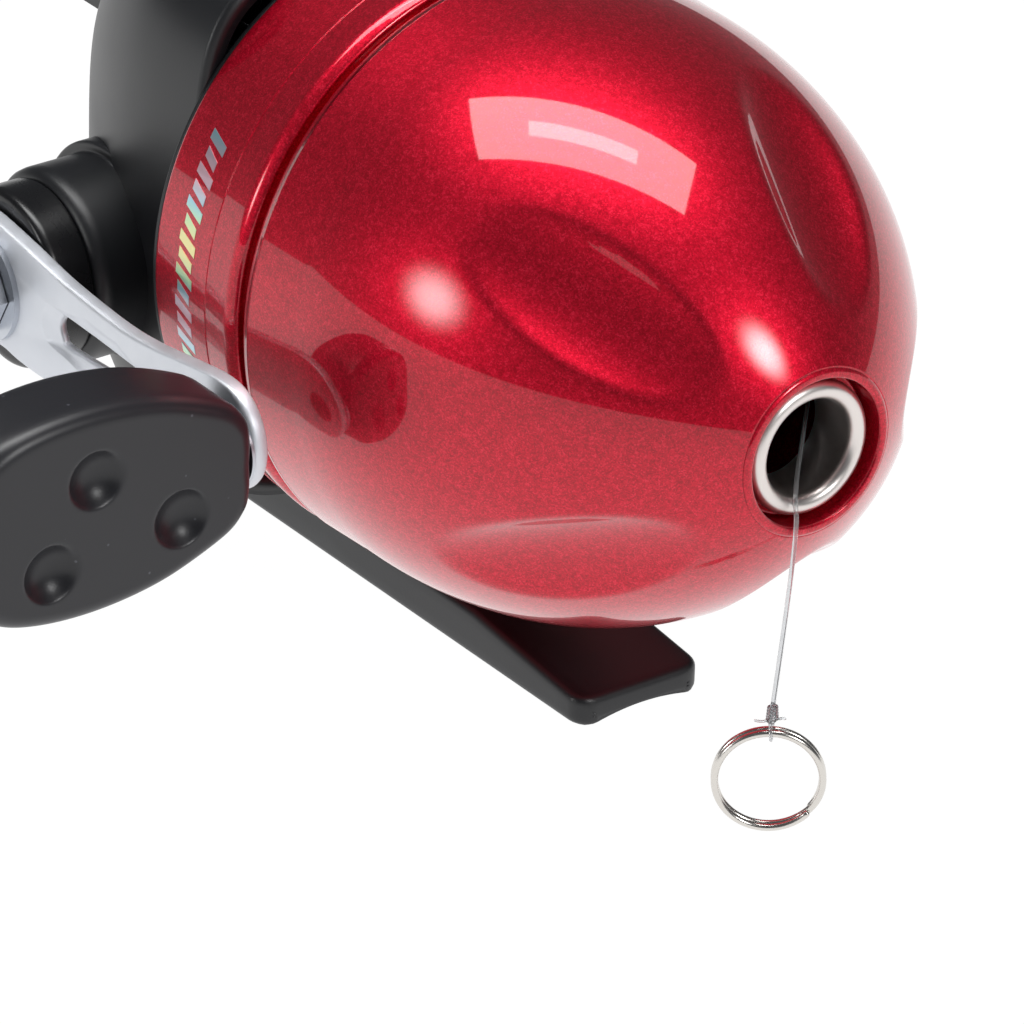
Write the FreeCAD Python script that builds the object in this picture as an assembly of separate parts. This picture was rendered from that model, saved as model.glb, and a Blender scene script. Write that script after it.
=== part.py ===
"""Spincast fishing reel: closed-face cover, winding cup and spool, crank, thumb button and rod foot.

Millimetres.  +X is forwards out of the nose, +Y is the reel's left, +Z is up.
The origin is the middle of the foot's seat, which rests on the rod.
"""
import FreeCAD, Part
import math
import os

V = FreeCAD.Vector

# ---- driving dimensions -------------------------------------------------------------------
AXIS_Z = 38.9            # height of the spool axis over the foot's seat
JOINT_X = 6.0            # where the front cover meets the body ring
BODY_R = 31.0            # largest radius, on the beads either side of the joint
GAP = 0.3                # usual clearance between pieces that move

COVER_R = 30.8           # straight skirt of the cover
COVER_SKIRT = 9.0        # length of the straight skirt
COVER_NOSE = 43.5        # length over which the cover would close to a point
COVER_POWER = 2.11       # how late the side begins to curve in
COVER_BLUNT = 0.644      # how full the nose is
COVER_END = 49.8         # from the joint to the rim of the nose
COVER_WALL = 1.6
DIMPLES = 5              # shallow hollows round the cover
DIMPLE_START = 139.5     # degrees about the axis, from +Y towards +Z
DIMPLE_BACK = (24.5, 28.6)     # length from the joint and radius where a hollow begins
DIMPLE_FRONT = (46.3, 13.3)    # and where it ends
DIMPLE_R = 13.0          # the hollow's own radius across

GUIDE_BORE = 4.9         # radius of the hole that the line leaves by
GUIDE_R = 6.8            # outside radius of the guide's rolled lip
RECESS_R = 7.5           # counterbore that the guide sits in
RECESS_X = 46.8          # its floor, from the joint

RING_LENGTH = 15.0       # painted body ring behind the joint
RING_BACK_R = 30.1
RING_BORE = 29.05

CRANK_X = -34.0          # crank axis, from the joint
CRANK_DROP = 7.3         # crank axis below the spool axis
CRANK_R = 3.0
CRANK_LENGTH = 42.07     # crank axis to knob axis
CRANK_TILT = 0.68        # degrees that the arm points up
ARM_OUT = 36.9           # outer face of the arm, to the right of the middle
ARM_THICK = 1.7

GEAR_TEETH = 28
PINION_TEETH = 8
PINION_PITCH_R = 4.0
TOOTH_OUT = 0.75         # tooth height past the pitch surface
TOOTH_IN = 1.15          # and below it
TOOTH_HALF = 0.40        # half a tooth's width at the pitch surface
TOOTH_REACH = 1.3        # half the width of the crown gear's toothed face

FOOT_HALF_LENGTH = 31.0
FOOT_HALF_WIDTH = 7.5
LINE_R = 0.225

# The line: out of the winding cup, through the guide and over its lower lip, then straight down.
LINE_ROUTE = [(43.2, 9.4, 39.9), (49.0, 3.8, 37.0), (55.3, -2.1, 35.0), (56.7, -2.5, 31.6),
              (56.5, -4.4, 13.9)]


def at(x, y=0.0, z=0.0):
    """A point given from the joint, the middle plane and the spool axis."""
    return V(JOINT_X + x, y, AXIS_Z + z)


def rod_x(x0, x1, r, y=0.0, z=0.0):
    return Part.makeCylinder(r, x1 - x0, at(x0, y, z), V(1, 0, 0))


def tube_x(x0, x1, r_out, r_in, y=0.0, z=0.0):
    return rod_x(x0, x1, r_out, y, z).cut(rod_x(x0 - 1, x1 + 1, r_in, y, z))


def rod_y(y0, y1, r, x=CRANK_X, z=-CRANK_DROP):
    return Part.makeCylinder(r, y1 - y0, at(x, y0, z), V(0, 1, 0))


def tube_y(y0, y1, r_out, r_in, x=CRANK_X, z=-CRANK_DROP):
    return rod_y(y0, y1, r_out, x, z).cut(rod_y(y0 - 1, y1 + 1, r_in, x, z))


def block(x0, x1, y0, y1, z0, z1):
    return Part.makeBox(x1 - x0, y1 - y0, z1 - z0, at(x0, y0, z0))


def fuse(shapes):
    body = shapes[0].multiFuse(shapes[1:]) if len(shapes) > 1 else shapes[0]
    return body.removeSplitter()


def outline(points, place):
    """A face from corner points; a point given as (corner, via) is reached by an arc through via."""
    edges = []
    first = last = place(*points[0])
    for item in points[1:]:
        if isinstance(item[0], tuple):
            target, via = place(*item[0]), place(*item[1])
            edges.append(Part.Arc(last, via, target).toShape())
        else:
            target = place(*item)
            edges.append(Part.LineSegment(last, target).toShape())
        last = target
    if not last.isEqual(first, 1e-6):
        edges.append(Part.LineSegment(last, first).toShape())
    return Part.Face(Part.Wire(edges))


def turned(points):
    """A solid turned about the spool axis from an outline of (length, radius) points."""
    face = outline(points, lambda x, r: at(x, 0, r))
    return face.revolve(at(0), V(1, 0, 0), 360)


def spaced(shape, count, start=0.0):
    """Copies of a shape, evenly spaced about the spool axis."""
    copies = []
    for i in range(count):
        copy = shape.copy()
        copy.rotate(at(0), V(1, 0, 0), start + 360.0 * i / count)
        copies.append(copy)
    return copies


def hexagon(x0, x1, across):
    corners = [(across / math.sqrt(3) * math.cos(math.radians(60 * i)),
                across / math.sqrt(3) * math.sin(math.radians(60 * i))) for i in range(6)]
    return outline(corners, lambda y, z: at(x0, y, z)).extrude(V(x1 - x0, 0, 0))


# ---- front cover --------------------------------------------------------------------------
def cover_radius(x, radius=COVER_R, nose=COVER_NOSE):
    t = max(0.0, (x - COVER_SKIRT) / nose)
    return radius * (1 - t ** COVER_POWER) ** COVER_BLUNT


def nose_curve(x_from, x_to, radius, nose):
    steps = 9
    xs = [x_from + (x_to - x_from) * i / steps for i in range(steps + 1)]
    curve = Part.BSplineCurve()
    curve.interpolate([at(x, 0, cover_radius(x, radius, nose)) for x in xs])
    return curve.toShape()


def path(points):
    corners = [at(x, 0, r) for x, r in points]
    return [Part.LineSegment(a, b).toShape() for a, b in zip(corners, corners[1:])]


def dimple(extra=0.0):
    """A long roller laid along the chord of one hollow; its lowest line is the hollow's floor."""
    (x0, r0), (x1, r1) = DIMPLE_BACK, DIMPLE_FRONT
    along = V(x1 - x0, 0, r1 - r0)
    along.normalize()
    outward = V(-along.z, 0, along.x)
    start = at(x0, 0, r0) + outward * DIMPLE_R - along * 6
    return Part.makeCylinder(DIMPLE_R + extra, 38.0, start, along)


def front_cover():
    """Pressed shell with a bead at the joint, a spigot into the ring and a counterbored nose."""
    bead = Part.Arc(at(0.5, 0, 30.1), at(0.75, 0, 30.75), at(1.4, 0, BODY_R)).toShape()
    inner_r, inner_nose = COVER_R - COVER_WALL, COVER_NOSE - 1.9
    inner_end = RECESS_X - 1.5
    end_r = cover_radius(COVER_END)
    edges = path([(-4, 27.6), (-4, 28.9), (0.5, 28.9), (0.5, 30.1)]) + [bead]
    edges += path([(1.4, BODY_R), (COVER_SKIRT, COVER_R)])
    edges += [nose_curve(COVER_SKIRT, COVER_END, COVER_R, COVER_NOSE)]
    edges += [Part.Arc(at(COVER_END, 0, end_r), at(COVER_END + 0.2, 0, end_r - 0.35),
                       at(COVER_END, 0, RECESS_R)).toShape()]
    edges += path([(COVER_END, RECESS_R), (RECESS_X, RECESS_R), (RECESS_X, 5.65), (inner_end, 5.65),
                   (inner_end, cover_radius(inner_end, inner_r, inner_nose))])
    edges += [nose_curve(inner_end, COVER_SKIRT, inner_r, inner_nose)]
    edges += path([(COVER_SKIRT, inner_r), (4, inner_r), (2.5, 27.6), (-4, 27.6)])
    shell = Part.Face(Part.Wire(edges)).revolve(at(0), V(1, 0, 0), 360)
    bumps = spaced(dimple(1.4), DIMPLES, DIMPLE_START - 90)
    backing = Part.Face(Part.Wire(
        [nose_curve(COVER_SKIRT, inner_end, COVER_R - 0.4, COVER_NOSE - 0.6)]
        + path([(inner_end, cover_radius(inner_end, COVER_R - 0.4, COVER_NOSE - 0.6)), (inner_end, 8.0),
                (COVER_SKIRT, 20.0), (COVER_SKIRT, COVER_R - 0.4)]))).revolve(at(0), V(1, 0, 0), 360)
    shell = shell.fuse([bump.common(backing) for bump in bumps])
    for roller in spaced(dimple(), DIMPLES, DIMPLE_START - 90):
        shell = shell.cut(roller)
    lug = sector(-6.2, -4.0, 27.6, 28.9, 0, 16)
    return fuse([shell] + spaced(lug, 3))


def sector(x0, x1, r_in, r_out, start, sweep):
    """A curved block about the spool axis, from start degrees through sweep."""
    face = outline([(x0, r_in), (x0, r_out), (x1, r_out), (x1, r_in)], lambda x, r: at(x, 0, r))
    face.rotate(at(0), V(1, 0, 0), start)
    return face.revolve(at(0), V(1, 0, 0), sweep)


def line_guide():
    """Hard ring with a rolled lip; its barrel passes through the nose."""
    return turned([(43.0, GUIDE_BORE), (43.0, 5.6), (RECESS_X, 5.6), (RECESS_X, GUIDE_R), (48.15, GUIDE_R),
                   ((48.15, GUIDE_BORE), (49.2, (GUIDE_R + GUIDE_BORE) / 2))])


# ---- body: ring, deck, housing ------------------------------------------------------------
def body_ring():
    return turned([(-RING_LENGTH, RING_BORE), (-RING_LENGTH, RING_BACK_R - 0.5),
                   ((-RING_LENGTH + 0.6, RING_BACK_R + 0.05), (-RING_LENGTH + 0.2, RING_BACK_R - 0.12)),
                   (-1.4, BODY_R), ((-0.5, 30.1), (-0.75, 30.75)), (-0.5, RING_BORE)])


SCREW_PLACES = [(16.4, 19.4), (-16.4, 19.4), (16.4, -19.4), (-16.4, -19.4)]
DIAL_X = (-24.0, -20.5)
DIAL_UP = 20.0
DIAL_R = 12.0


def deck_plate():
    """Main plate with the spool's post, the pinion's bore and three stops for the cover."""
    plate = rod_x(-14, -11.5, 28.9).fuse([rod_x(-11.6, 6.0, 7.0), rod_x(-15.6, -13.9, 8.0)])
    plate = plate.cut(rod_x(-18, 7, 5.03)).cut(tube_x(4.1, 5.1, 8, 6.4))
    for y, z in SCREW_PLACES:
        plate = plate.cut(rod_x(-15, -11, 1.35, y, z)).cut(rod_x(-12.6, -11, 2.7, y, z))
    plate = plate.cut(rod_x(-15, -11, 1.55, 0, DIAL_UP))
    stop = sector(-11.6, -6.6, 27.4, 28.8, 50, 16)
    return fuse([plate] + spaced(stop, 3))


HOUSING_HALF_W = 25.0
HOUSING_HALF_H = 29.5
HOUSING_BACK = 41.5      # reach of the oval plan behind its middle
HOUSING_MID_X = -15.6
HOUSING_WALL = 2.2
SIDE_PROFILE = [(-15.6, 29.5), (-32, 27.6), (-44, 21.5), (-53, 11), (-56.5, -3), (-53, -17), (-43, -27),
                (-31, -29.5), (-15.6, -29.5)]


def housing_form(inset):
    """Rounded-rectangle section, oval plan and curved side view, all meeting in one form."""
    half_w, half_h, r = HOUSING_HALF_W - inset, HOUSING_HALF_H - inset, 13.0 - inset
    flat_w, flat_h, d = half_w - r, half_h - r, r * math.sqrt(0.5)
    section = outline(
        [(-half_w, -flat_h), (-half_w, flat_h), ((-flat_w, half_h), (-flat_w - d, flat_h + d)),
         (flat_w, half_h), ((half_w, flat_h), (flat_w + d, flat_h + d)),
         (half_w, -flat_h), ((flat_w, -half_h), (flat_w + d, -flat_h - d)),
         (-flat_w, -half_h), ((-half_w, -flat_h), (-flat_w - d, -flat_h - d))],
        lambda y, z: at(HOUSING_MID_X, y, z)).extrude(V(-60, 0, 0))
    middle = at(HOUSING_MID_X, 0, -40)
    oval = Part.Ellipse(middle, HOUSING_BACK - inset, half_w + 0.6)
    plan = Part.Face(Part.Wire(oval.toShape())).extrude(V(0, 0, 80))
    curve = Part.BSplineCurve()
    shrink = [(x + inset * 0.9 if x < -50 else x, z * (half_h / HOUSING_HALF_H)) for x, z in SIDE_PROFILE]
    curve.interpolate([at(x, -40, z) for x, z in shrink])
    close = Part.LineSegment(at(shrink[-1][0], -40, shrink[-1][1]), at(shrink[0][0], -40, shrink[0][1]))
    side = Part.Face(Part.Wire([curve.toShape(), close.toShape()])).extrude(V(0, 80, 0))
    return section.common(plan).common(side)


BUTTON_PAD = [(-60.5, 7.5), (-54.5, 19), (-43, 19), (-43, 12.8), (-52.5, 12.8), (-52.5, 7.5)]
BUTTON_HALF_W = 10.0


def rear_housing():
    """Moulded shell with the crank boss, screw bosses, button opening and dial slot."""
    inner = housing_form(HOUSING_WALL)
    shell = housing_form(0.0).cut(inner.fuse(block(-17.8, -15.5, -22.6, 22.6, -24.0, 24.0)))
    lip = turned([(-15.6, 26.5), (-15.6, 29.95), (-15.05, 29.95), (-15.05, 29.0), (-14.05, 29.0),
                  (-14.05, 26.5)])
    boss = tube_y(-30.4, -12, 10.0, 6.05)
    far_boss = rod_y(11.5, 22.0, 7.0).cut(rod_y(11, 19, 4.53))
    posts = [rod_x(-24, -14.05, 3.2, y, z) for y, z in SCREW_PLACES]
    rib = block(-27.4, -25.2, -5, 5, 14.5, 28.0).cut(rod_x(-28, -25, 1.55, 0, DIAL_UP))
    joined = shell.fuse([lip, boss, far_boss, rib] + posts)
    joined = joined.cut([rod_y(-31, -11, 6.05)] + [rod_x(-22.4, -14, 1.28, y, z) for y, z in SCREW_PLACES])
    clear = 0.4
    low = BUTTON_PAD[0][1] - clear
    corners = [(-63, low), (-63, 19 + clear), (-38, 19 + clear), (-38, 12.8 - clear),
               (-46, 12.8 - clear), (-46, low)]
    half = BUTTON_HALF_W + clear
    opening = outline(corners, lambda x, z: at(x, -half, z)).extrude(V(0, 2 * half, 0))
    joined = joined.cut(opening)
    joined = joined.cut(block(DIAL_X[0] - 0.5, DIAL_X[1] + 0.5, -10.6, 10.6, 22.0, 34.0))
    for x in FOOT_SCREWS:
        joined = joined.cut(Part.makeCylinder(1.3, 12, at(x, 0, -32), V(0, 0, 1)))
    return joined.removeSplitter()


# ---- foot ---------------------------------------------------------------------------------
FOOT_SCREWS = (-20.0, -30.0)
FOOT_TIP = 3.0           # thickness of the foot's tips
FOOT_TOP = 5.0           # where the ramps level out
FOOT_STEM = (-35.0, -16.2)


def reel_foot():
    """Flat shoe with thin ramped tips under the rod seat's hoods, and a stem up to the housing."""
    seat = -AXIS_Z
    front, back = FOOT_HALF_LENGTH - JOINT_X, -FOOT_HALF_LENGTH - JOINT_X
    housing_z = -HOUSING_HALF_H - seat
    rise = [(front, 0.6), (front, FOOT_TIP - 0.8), ((front - 1.2, FOOT_TIP), (front - 0.3, FOOT_TIP - 0.2)),
            (front - 18, FOOT_TOP), (FOOT_STEM[1] + 4, FOOT_TOP),
            ((FOOT_STEM[1], housing_z), (FOOT_STEM[1] + 1.1, FOOT_TOP + 1.1)),
            (FOOT_STEM[0] + 3.5, housing_z), (back + 1.2, FOOT_TIP),
            ((back, FOOT_TIP - 0.8), (back + 0.3, FOOT_TIP - 0.2)),
            (back, 0.6), (back + 0.6, 0), (front - 0.6, 0)]
    half = FOOT_HALF_WIDTH
    shoe = outline(rise, lambda x, h: at(x, -half, seat + h)).extrude(V(0, 2 * half, 0))
    corner, cut = 2.0, 2.0 - 2.0 * math.sqrt(0.5)
    plan = outline(
        [(back + corner, -half), (front - corner, -half), ((front, corner - half), (front - cut, cut - half)),
         (front, half - corner), ((front - corner, half), (front - cut, half - cut)),
         (back + corner, half), ((back, half - corner), (back + cut, half - cut)),
         (back, corner - half), ((back + corner, -half), (back + cut, cut - half))],
        lambda x, y: at(x, y, seat - 1)).extrude(V(0, 0, 30))
    shoe = shoe.common(plan)
    hollow_r = 24.0
    for x0, x1 in ((front - 21, front + 1), (back - 1, back + 21)):
        shoe = shoe.cut(Part.makeCylinder(hollow_r, x1 - x0, at(x0, 0, seat + 0.9 - hollow_r), V(1, 0, 0)))
    for x in FOOT_SCREWS:
        base = at(x, 0, seat - 1)
        shoe = shoe.cut(Part.makeCylinder(1.6, 14, base, V(0, 0, 1)))
        shoe = shoe.cut(Part.makeCylinder(3.1, 3.6, base, V(0, 0, 1)))
    return shoe


def foot_screw(x):
    """Pan-head screw up through the foot into the housing."""
    seat = -AXIS_Z
    head = Part.makeCylinder(2.9, 1.3, at(x, 0, seat + 1.3), V(0, 0, 1))
    shank = Part.makeCylinder(1.25, 10.5, at(x, 0, seat + 2.5), V(0, 0, 1))
    cross = block(x - 1.6, x + 1.6, -0.3, 0.3, seat + 1, seat + 1.9)
    return head.fuse(shank).cut(cross).cut(cross_turned(cross, at(x), V(0, 0, 1))).removeSplitter()


def cross_turned(shape, centre, axis):
    copy = shape.copy()
    copy.rotate(centre, axis, 90)
    return copy


def deck_screw(y, z):
    """Screw from the spool side of the deck into a housing post."""
    head = rod_x(-12.55, -11.3, 2.5, y, z)
    slot = block(-11.9, -11, y - 3, y + 3, z - 0.35, z + 0.35)
    return head.cut(slot).fuse(rod_x(-22, -12.5, 1.25, y, z)).removeSplitter()


# ---- winding train ------------------------------------------------------------------------
def tooth(half_at_pitch, out, inside, flank=20.0):
    """Half widths of a straight-sided tooth at its tip and its root."""
    slope = math.tan(math.radians(flank))
    return half_at_pitch - out * slope, half_at_pitch + inside * slope


def pinion_gear():
    """Hollow pinion shaft with a hexagon end that drives the winding cup."""
    tip, root = tooth(TOOTH_HALF, TOOTH_OUT, TOOTH_IN, 14.0)
    r_root, r_tip = PINION_PITCH_R - TOOTH_IN, PINION_PITCH_R + TOOTH_OUT
    blank = rod_x(-24.4, -18.1, r_root).fuse([rod_x(-18.2, 6.6, 3.5), hexagon(6.5, 12.5, 6.0)])
    one = outline([(-root, r_root - 0.6), (root, r_root - 0.6), (tip, r_tip), (-tip, r_tip)],
                  lambda y, z: at(-24.4, y, z)).extrude(V(6.3, 0, 0))
    pinion = blank.fuse(spaced(one, PINION_TEETH, 180.0 / PINION_TEETH + 90))
    return pinion.cut(rod_x(-25, 13, 1.56)).removeSplitter()


GEAR_MESH = PINION_PITCH_R * GEAR_TEETH / PINION_TEETH


def drive_gear():
    """Crown gear on the crank: each tooth lies along the pinion as it passes, so it misses the centre."""
    tip, root = tooth(TOOTH_HALF, TOOTH_OUT, TOOTH_IN, 14.0)
    y_tip, y_root = -(PINION_PITCH_R - TOOTH_OUT), -(PINION_PITCH_R + TOOTH_IN)
    rim = math.hypot(GEAR_MESH + TOOTH_REACH, CRANK_DROP)
    disc = tube_y(y_root - 2.6, y_root, rim, 3.03).fuse(tube_y(y_root - 5.2, y_root - 2.5, 6.5, 3.03))
    one = outline([(-root, y_root - 0.4), (-tip, y_tip), (tip, y_tip), (root, y_root - 0.4)],
                  lambda z, y: at(CRANK_X + GEAR_MESH - TOOTH_REACH, y, z)).extrude(V(2 * TOOTH_REACH, 0, 0))
    teeth = []
    for i in range(GEAR_TEETH):
        copy = one.copy()
        copy.rotate(at(CRANK_X, 0, -CRANK_DROP), V(0, 1, 0), 360.0 * i / GEAR_TEETH)
        teeth.append(copy)
    gear = disc.fuse(teeth).common(tube_y(y_root - 6, y_tip + 1, rim, 3.03))
    for i in range(6):
        angle = math.radians(60 * i + 30)
        hole = rod_y(-12, -3, 2.2, CRANK_X + 9.8 * math.cos(angle), -CRANK_DROP + 9.8 * math.sin(angle))
        gear = gear.cut(hole)
    return gear.removeSplitter()


def winding_cup():
    """Spun cup round the spool, keyed to the pinion by a hexagon socket."""
    cup = turned([(-1, 24.8), (-1, 26), (12.4, 26), ((14.4, 24.2), (13.8, 25.4)), (14.4, 6.0), (15, 6.0),
                  (15, 0.1), (13.3, 0.1), (13.3, 6.5), (13.0, 6.5), (13.0, 24.2),
                  ((12.4, 24.8), (12.8, 24.6))])
    hub = rod_x(7.5, 13.4, 6.5).cut(hexagon(7.0, 13.3, 6.2))
    cup = fuse([cup, hub]).cut(rod_x(12, 16, 1.5))
    for i in range(6):
        angle = math.radians(60 * i + 30)
        cup = cup.cut(rod_x(12, 16, 3.0, 15.5 * math.cos(angle), 15.5 * math.sin(angle)))
    return cup.cut(Part.makeCylinder(1.15, 6, at(6, 0, 22), V(0, 0, 1)))


def pickup_guide():
    """Small block under the cup's skirt that the pin slides in."""
    form = block(3.4, 8.6, -2.6, 2.6, 23.65, 26.0).common(rod_x(0, 12, 24.75))
    return form.cut(Part.makeCylinder(1.15, 6, at(6, 0, 22), V(0, 0, 1)))


def pickup_pin():
    pin = Part.makeCylinder(1.08, 3.75, at(6, 0, 23.7), V(0, 0, 1))
    return pin.makeFillet(0.35, [e for e in pin.Edges if abs(e.BoundBox.ZMax - pin.BoundBox.ZMax) < 0.01
                                 and e.BoundBox.ZLength < 0.01])


def spool():
    """Line spool on the deck's post, free to slip against the drag washer."""
    body = turned([(-10, 7.06), (-10, 23.2), ((-9.2, 23.2), (-9.6, 23.5)), (-8.6, 21.5), (-8.6, 11),
                   (2.6, 11),
                   (2.6, 21.5), (3.2, 23.2), ((4.0, 23.2), (3.6, 23.5)), (4.0, 7.06)])
    for i in range(8):
        angle = math.radians(45 * i)
        body = body.cut(rod_x(-11, 5, 1.2, 9.0 * math.cos(angle), 9.0 * math.sin(angle)))
    return body


def return_spring():
    """Coil that pushes the centre shaft and the button back."""
    coil = Part.makeHelix(1.9, 13.3, 2.25)
    coil.Placement = FreeCAD.Placement(at(-40.9), FreeCAD.Rotation(V(0, 0, 1), V(1, 0, 0)))
    start = coil.Vertexes[0].Point
    ring = Part.Wire(Part.Circle(start, V(0, 1, 0), 0.25).toShape())
    return Part.Wire(coil.Edges).makePipeShell([ring], True, True)


# ---- crank, arm and knob ------------------------------------------------------------------
def arm_frame(u, v, y):
    """A point on the arm: u from the crank axis towards the knob, v across it."""
    c, s = math.cos(math.radians(CRANK_TILT)), math.sin(math.radians(CRANK_TILT))
    return at(CRANK_X + u * c - v * s, y, -CRANK_DROP + u * s + v * c)


ARM_TIP = 45.9           # reach of the rounded end, a little past the knob's post


def crank_arm():
    """Die-cast blade with a rounded end at the knob and a three-cornered window."""
    blade = [(-7.4, 0.8), ((-0.5, 7.5), (-5.3, 5.5)), (6, 6.6), ((34, 5.4), (22, 4.6)), (39.6, 5.95),
             ((39.9, -5.2), (ARM_TIP, 0.4)), (10, -6.5), (2, -5.9), ((-7.4, 0.8), (-6.0, -3.6))]
    base = outline(blade, lambda u, v: arm_frame(u, v, -ARM_OUT))
    plate = base.extrude(V(0, ARM_THICK, 0))
    window = outline([(12.4, -1.0), ((13.4, 1.6), (11.9, 0.4)), (26, 0.9), ((26, -1.2), (27, -0.15)),
                      (13.6, -1.6), ((12.4, -1.0), (12.9, -1.4))],
                     lambda u, v: arm_frame(u, v, -ARM_OUT - 1)).extrude(V(0, ARM_THICK + 2, 0))
    plate = plate.cut(window)
    for u, r in ((0, 2.56), (CRANK_LENGTH, 1.98)):
        spot = arm_frame(u, 0, -ARM_OUT - 1)
        plate = plate.cut(Part.makeCylinder(r, ARM_THICK + 2, spot, V(0, 1, 0)))
    return plate


KNOB_REACH = 32.6        # length of the paddle
KNOB_HALF_T = 4.8        # half its thickness
KNOB_START = ARM_OUT + 0.4
KNOB_BORE = 2.06
KNOB_DIMPLES = [(8.4, -3.1), (17.9, 3.7), (22.9, -4.7)]


def knob_point(u, w, thick):
    """A point on the knob: u outwards from its inner end, w upwards, thick forwards."""
    centre = arm_frame(CRANK_LENGTH, 0, -KNOB_START)
    return V(centre.x + thick, centre.y - u, centre.z + w)


def knob_paddle():
    """Moulded paddle grip, wider outwards, with three finger dimples on each face."""
    half = [(0, 2.6), (0.6, 4.9), (3.2, 7.2), (10.6, 9.9), (19.0, 10.8), (26.6, 9.8), (31.2, 6.9),
            (KNOB_REACH, 3.0)]
    lower = [(u, -w) for u, w in reversed(half)]
    rim = Part.BSplineCurve()
    rim.interpolate([knob_point(u, w, -KNOB_HALF_T) for u, w in half + lower], PeriodicFlag=True)
    paddle = Part.Face(Part.Wire(rim.toShape())).extrude(V(2 * KNOB_HALF_T, 0, 0))
    paddle = paddle.makeFillet(1.4, [e for e in paddle.Edges if e.BoundBox.XLength < 0.01])
    ball_r, depth = 3.4, 1.15
    for side in (1, -1):
        for u, w in KNOB_DIMPLES:
            centre = knob_point(u, w, side * (KNOB_HALF_T + ball_r - depth))
            paddle = paddle.cut(Part.makeSphere(ball_r, centre))
    bore = Part.makeCylinder(KNOB_BORE, KNOB_REACH + 2, knob_point(KNOB_REACH + 1, 0, 0), V(0, 1, 0))
    return paddle.cut(bore)


def on_knob_axis(y0, y1, r):
    centre = arm_frame(CRANK_LENGTH, 0, -y0)
    return Part.makeCylinder(r, y1 - y0, centre, V(0, -1, 0))


def knob_post():
    """Rivet through the arm that the knob turns on, headed at its outer end."""
    end = KNOB_START + KNOB_REACH
    return fuse([on_knob_axis(ARM_OUT - ARM_THICK, end + 0.5, 1.98), on_knob_axis(end + GAP, end + 1.3, 3.4)])


def handle_nut():
    corners = [(4.6 * math.cos(math.radians(60 * i)), 4.6 * math.sin(math.radians(60 * i))) for i in range(6)]
    nut = outline(corners, lambda u, v: arm_frame(u, v, -ARM_OUT - 0.7)).extrude(V(0, -3.4, 0))
    dome = Part.makeSphere(6.2, at(CRANK_X, -ARM_OUT + 0.4, -CRANK_DROP))
    return nut.common(dome).cut(rod_y(-ARM_OUT - 3.0, -ARM_OUT, 2.5))


def crank_shaft():
    """Steel shaft: seat for the gear, square-shouldered seat for the arm, threaded end for the nut."""
    return fuse([rod_y(-ARM_OUT + ARM_THICK, 17.5, CRANK_R), rod_y(-ARM_OUT - 2.9, -30, 2.5)])


def thumb_button():
    """Thumb pad that slides forwards, with a blade that pushes the centre shaft."""
    half = BUTTON_HALF_W
    pad = outline(BUTTON_PAD, lambda x, z: at(x, -half, z)).extrude(V(0, 2 * half, 0))
    rims = [e for e in pad.Edges if e.BoundBox.YLength > 19 and e.BoundBox.XMin < at(-54).x]
    pad = pad.makeFillet(1.4, rims)
    for i in range(4):
        t = (i + 1.0) / 5
        groove = Part.makeCylinder(0.55, 15, at(-60.5 + 6.0 * t, -7.5, 7.5 + 11.5 * t), V(0, 1, 0))
        pad = pad.cut(groove)
    blade = block(-51.4, -46.3, -2.0, 2.0, -2.6, 12.9)
    return fuse([pad, blade])


def drag_dial():
    """Thumb wheel standing out of the housing's top, with a milled edge."""
    wheel = rod_x(DIAL_X[0], DIAL_X[1], DIAL_R, 0, DIAL_UP).cut(rod_x(-25, -20, 1.55, 0, DIAL_UP))
    edges = [e for e in wheel.Edges if e.Length > 60]
    wheel = wheel.makeFillet(0.5, edges)
    count = 30
    for i in range(count):
        angle = math.radians(360.0 * i / count)
        wheel = wheel.cut(rod_x(-25, -20, 0.45, DIAL_R * math.cos(angle), DIAL_UP + DIAL_R * math.sin(angle)))
    return wheel


# ---- line, knot and split ring ------------------------------------------------------------
def line_path():
    """Straight runs joined by the largest tangent arcs that the runs leave room for."""
    points = [V(*p) for p in LINE_ROUTE]
    edges, last = [], points[0]
    for before, corner, after in zip(points, points[1:], points[2:]):
        inward, outward = corner - before, after - corner
        shorter = min(inward.Length, outward.Length)
        turn = inward.getAngle(outward)
        reach = 0.45 * shorter
        print("line bend radius %.2f mm" % (reach / math.tan(turn / 2)))
        inward.normalize()
        outward.normalize()
        start, end = corner - inward * reach, corner + outward * reach
        middle_dir = (outward - inward)
        middle_dir.normalize()
        radius = reach / math.tan(turn / 2)
        centre = corner + middle_dir * (radius / math.cos(turn / 2))
        edges.append(Part.LineSegment(last, start).toShape())
        edges.append(Part.Arc(start, centre - middle_dir * radius, end).toShape())
        last = end
    edges.append(Part.LineSegment(last, points[-1]).toShape())
    return Part.Wire(edges)


def fishing_line():
    route = line_path()
    begin = V(*LINE_ROUTE[0])
    along = V(*LINE_ROUTE[1]) - begin
    ring = Part.Wire(Part.Circle(begin, along, LINE_R).toShape())
    tube = route.makePipeShell([ring], True, False)
    print("line %.2f mm long, volume over section times length %.4f"
          % (route.Length, tube.Volume / (math.pi * LINE_R ** 2 * route.Length)))
    return tube


KNOT_LENGTH = 1.85
KNOT_GAP = 0.45           # clear of the ring, so that it can swing
SPLIT_MEAN_R = 5.2
SPLIT_WIRE_R = 0.35
SPLIT_FACE = (0.8, -0.6)     # the way the hanging ring faces, in plan


def line_end():
    return V(*LINE_ROUTE[-1])


def line_knot():
    """Wraps of the knot, drawn tight over the line's end."""
    knot = Part.makeCylinder(0.62, KNOT_LENGTH, line_end() - V(0, 0, KNOT_LENGTH), V(0, 0, 1))
    return knot.makeFillet(0.25, [e for e in knot.Edges if e.BoundBox.ZLength < 0.01])


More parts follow.
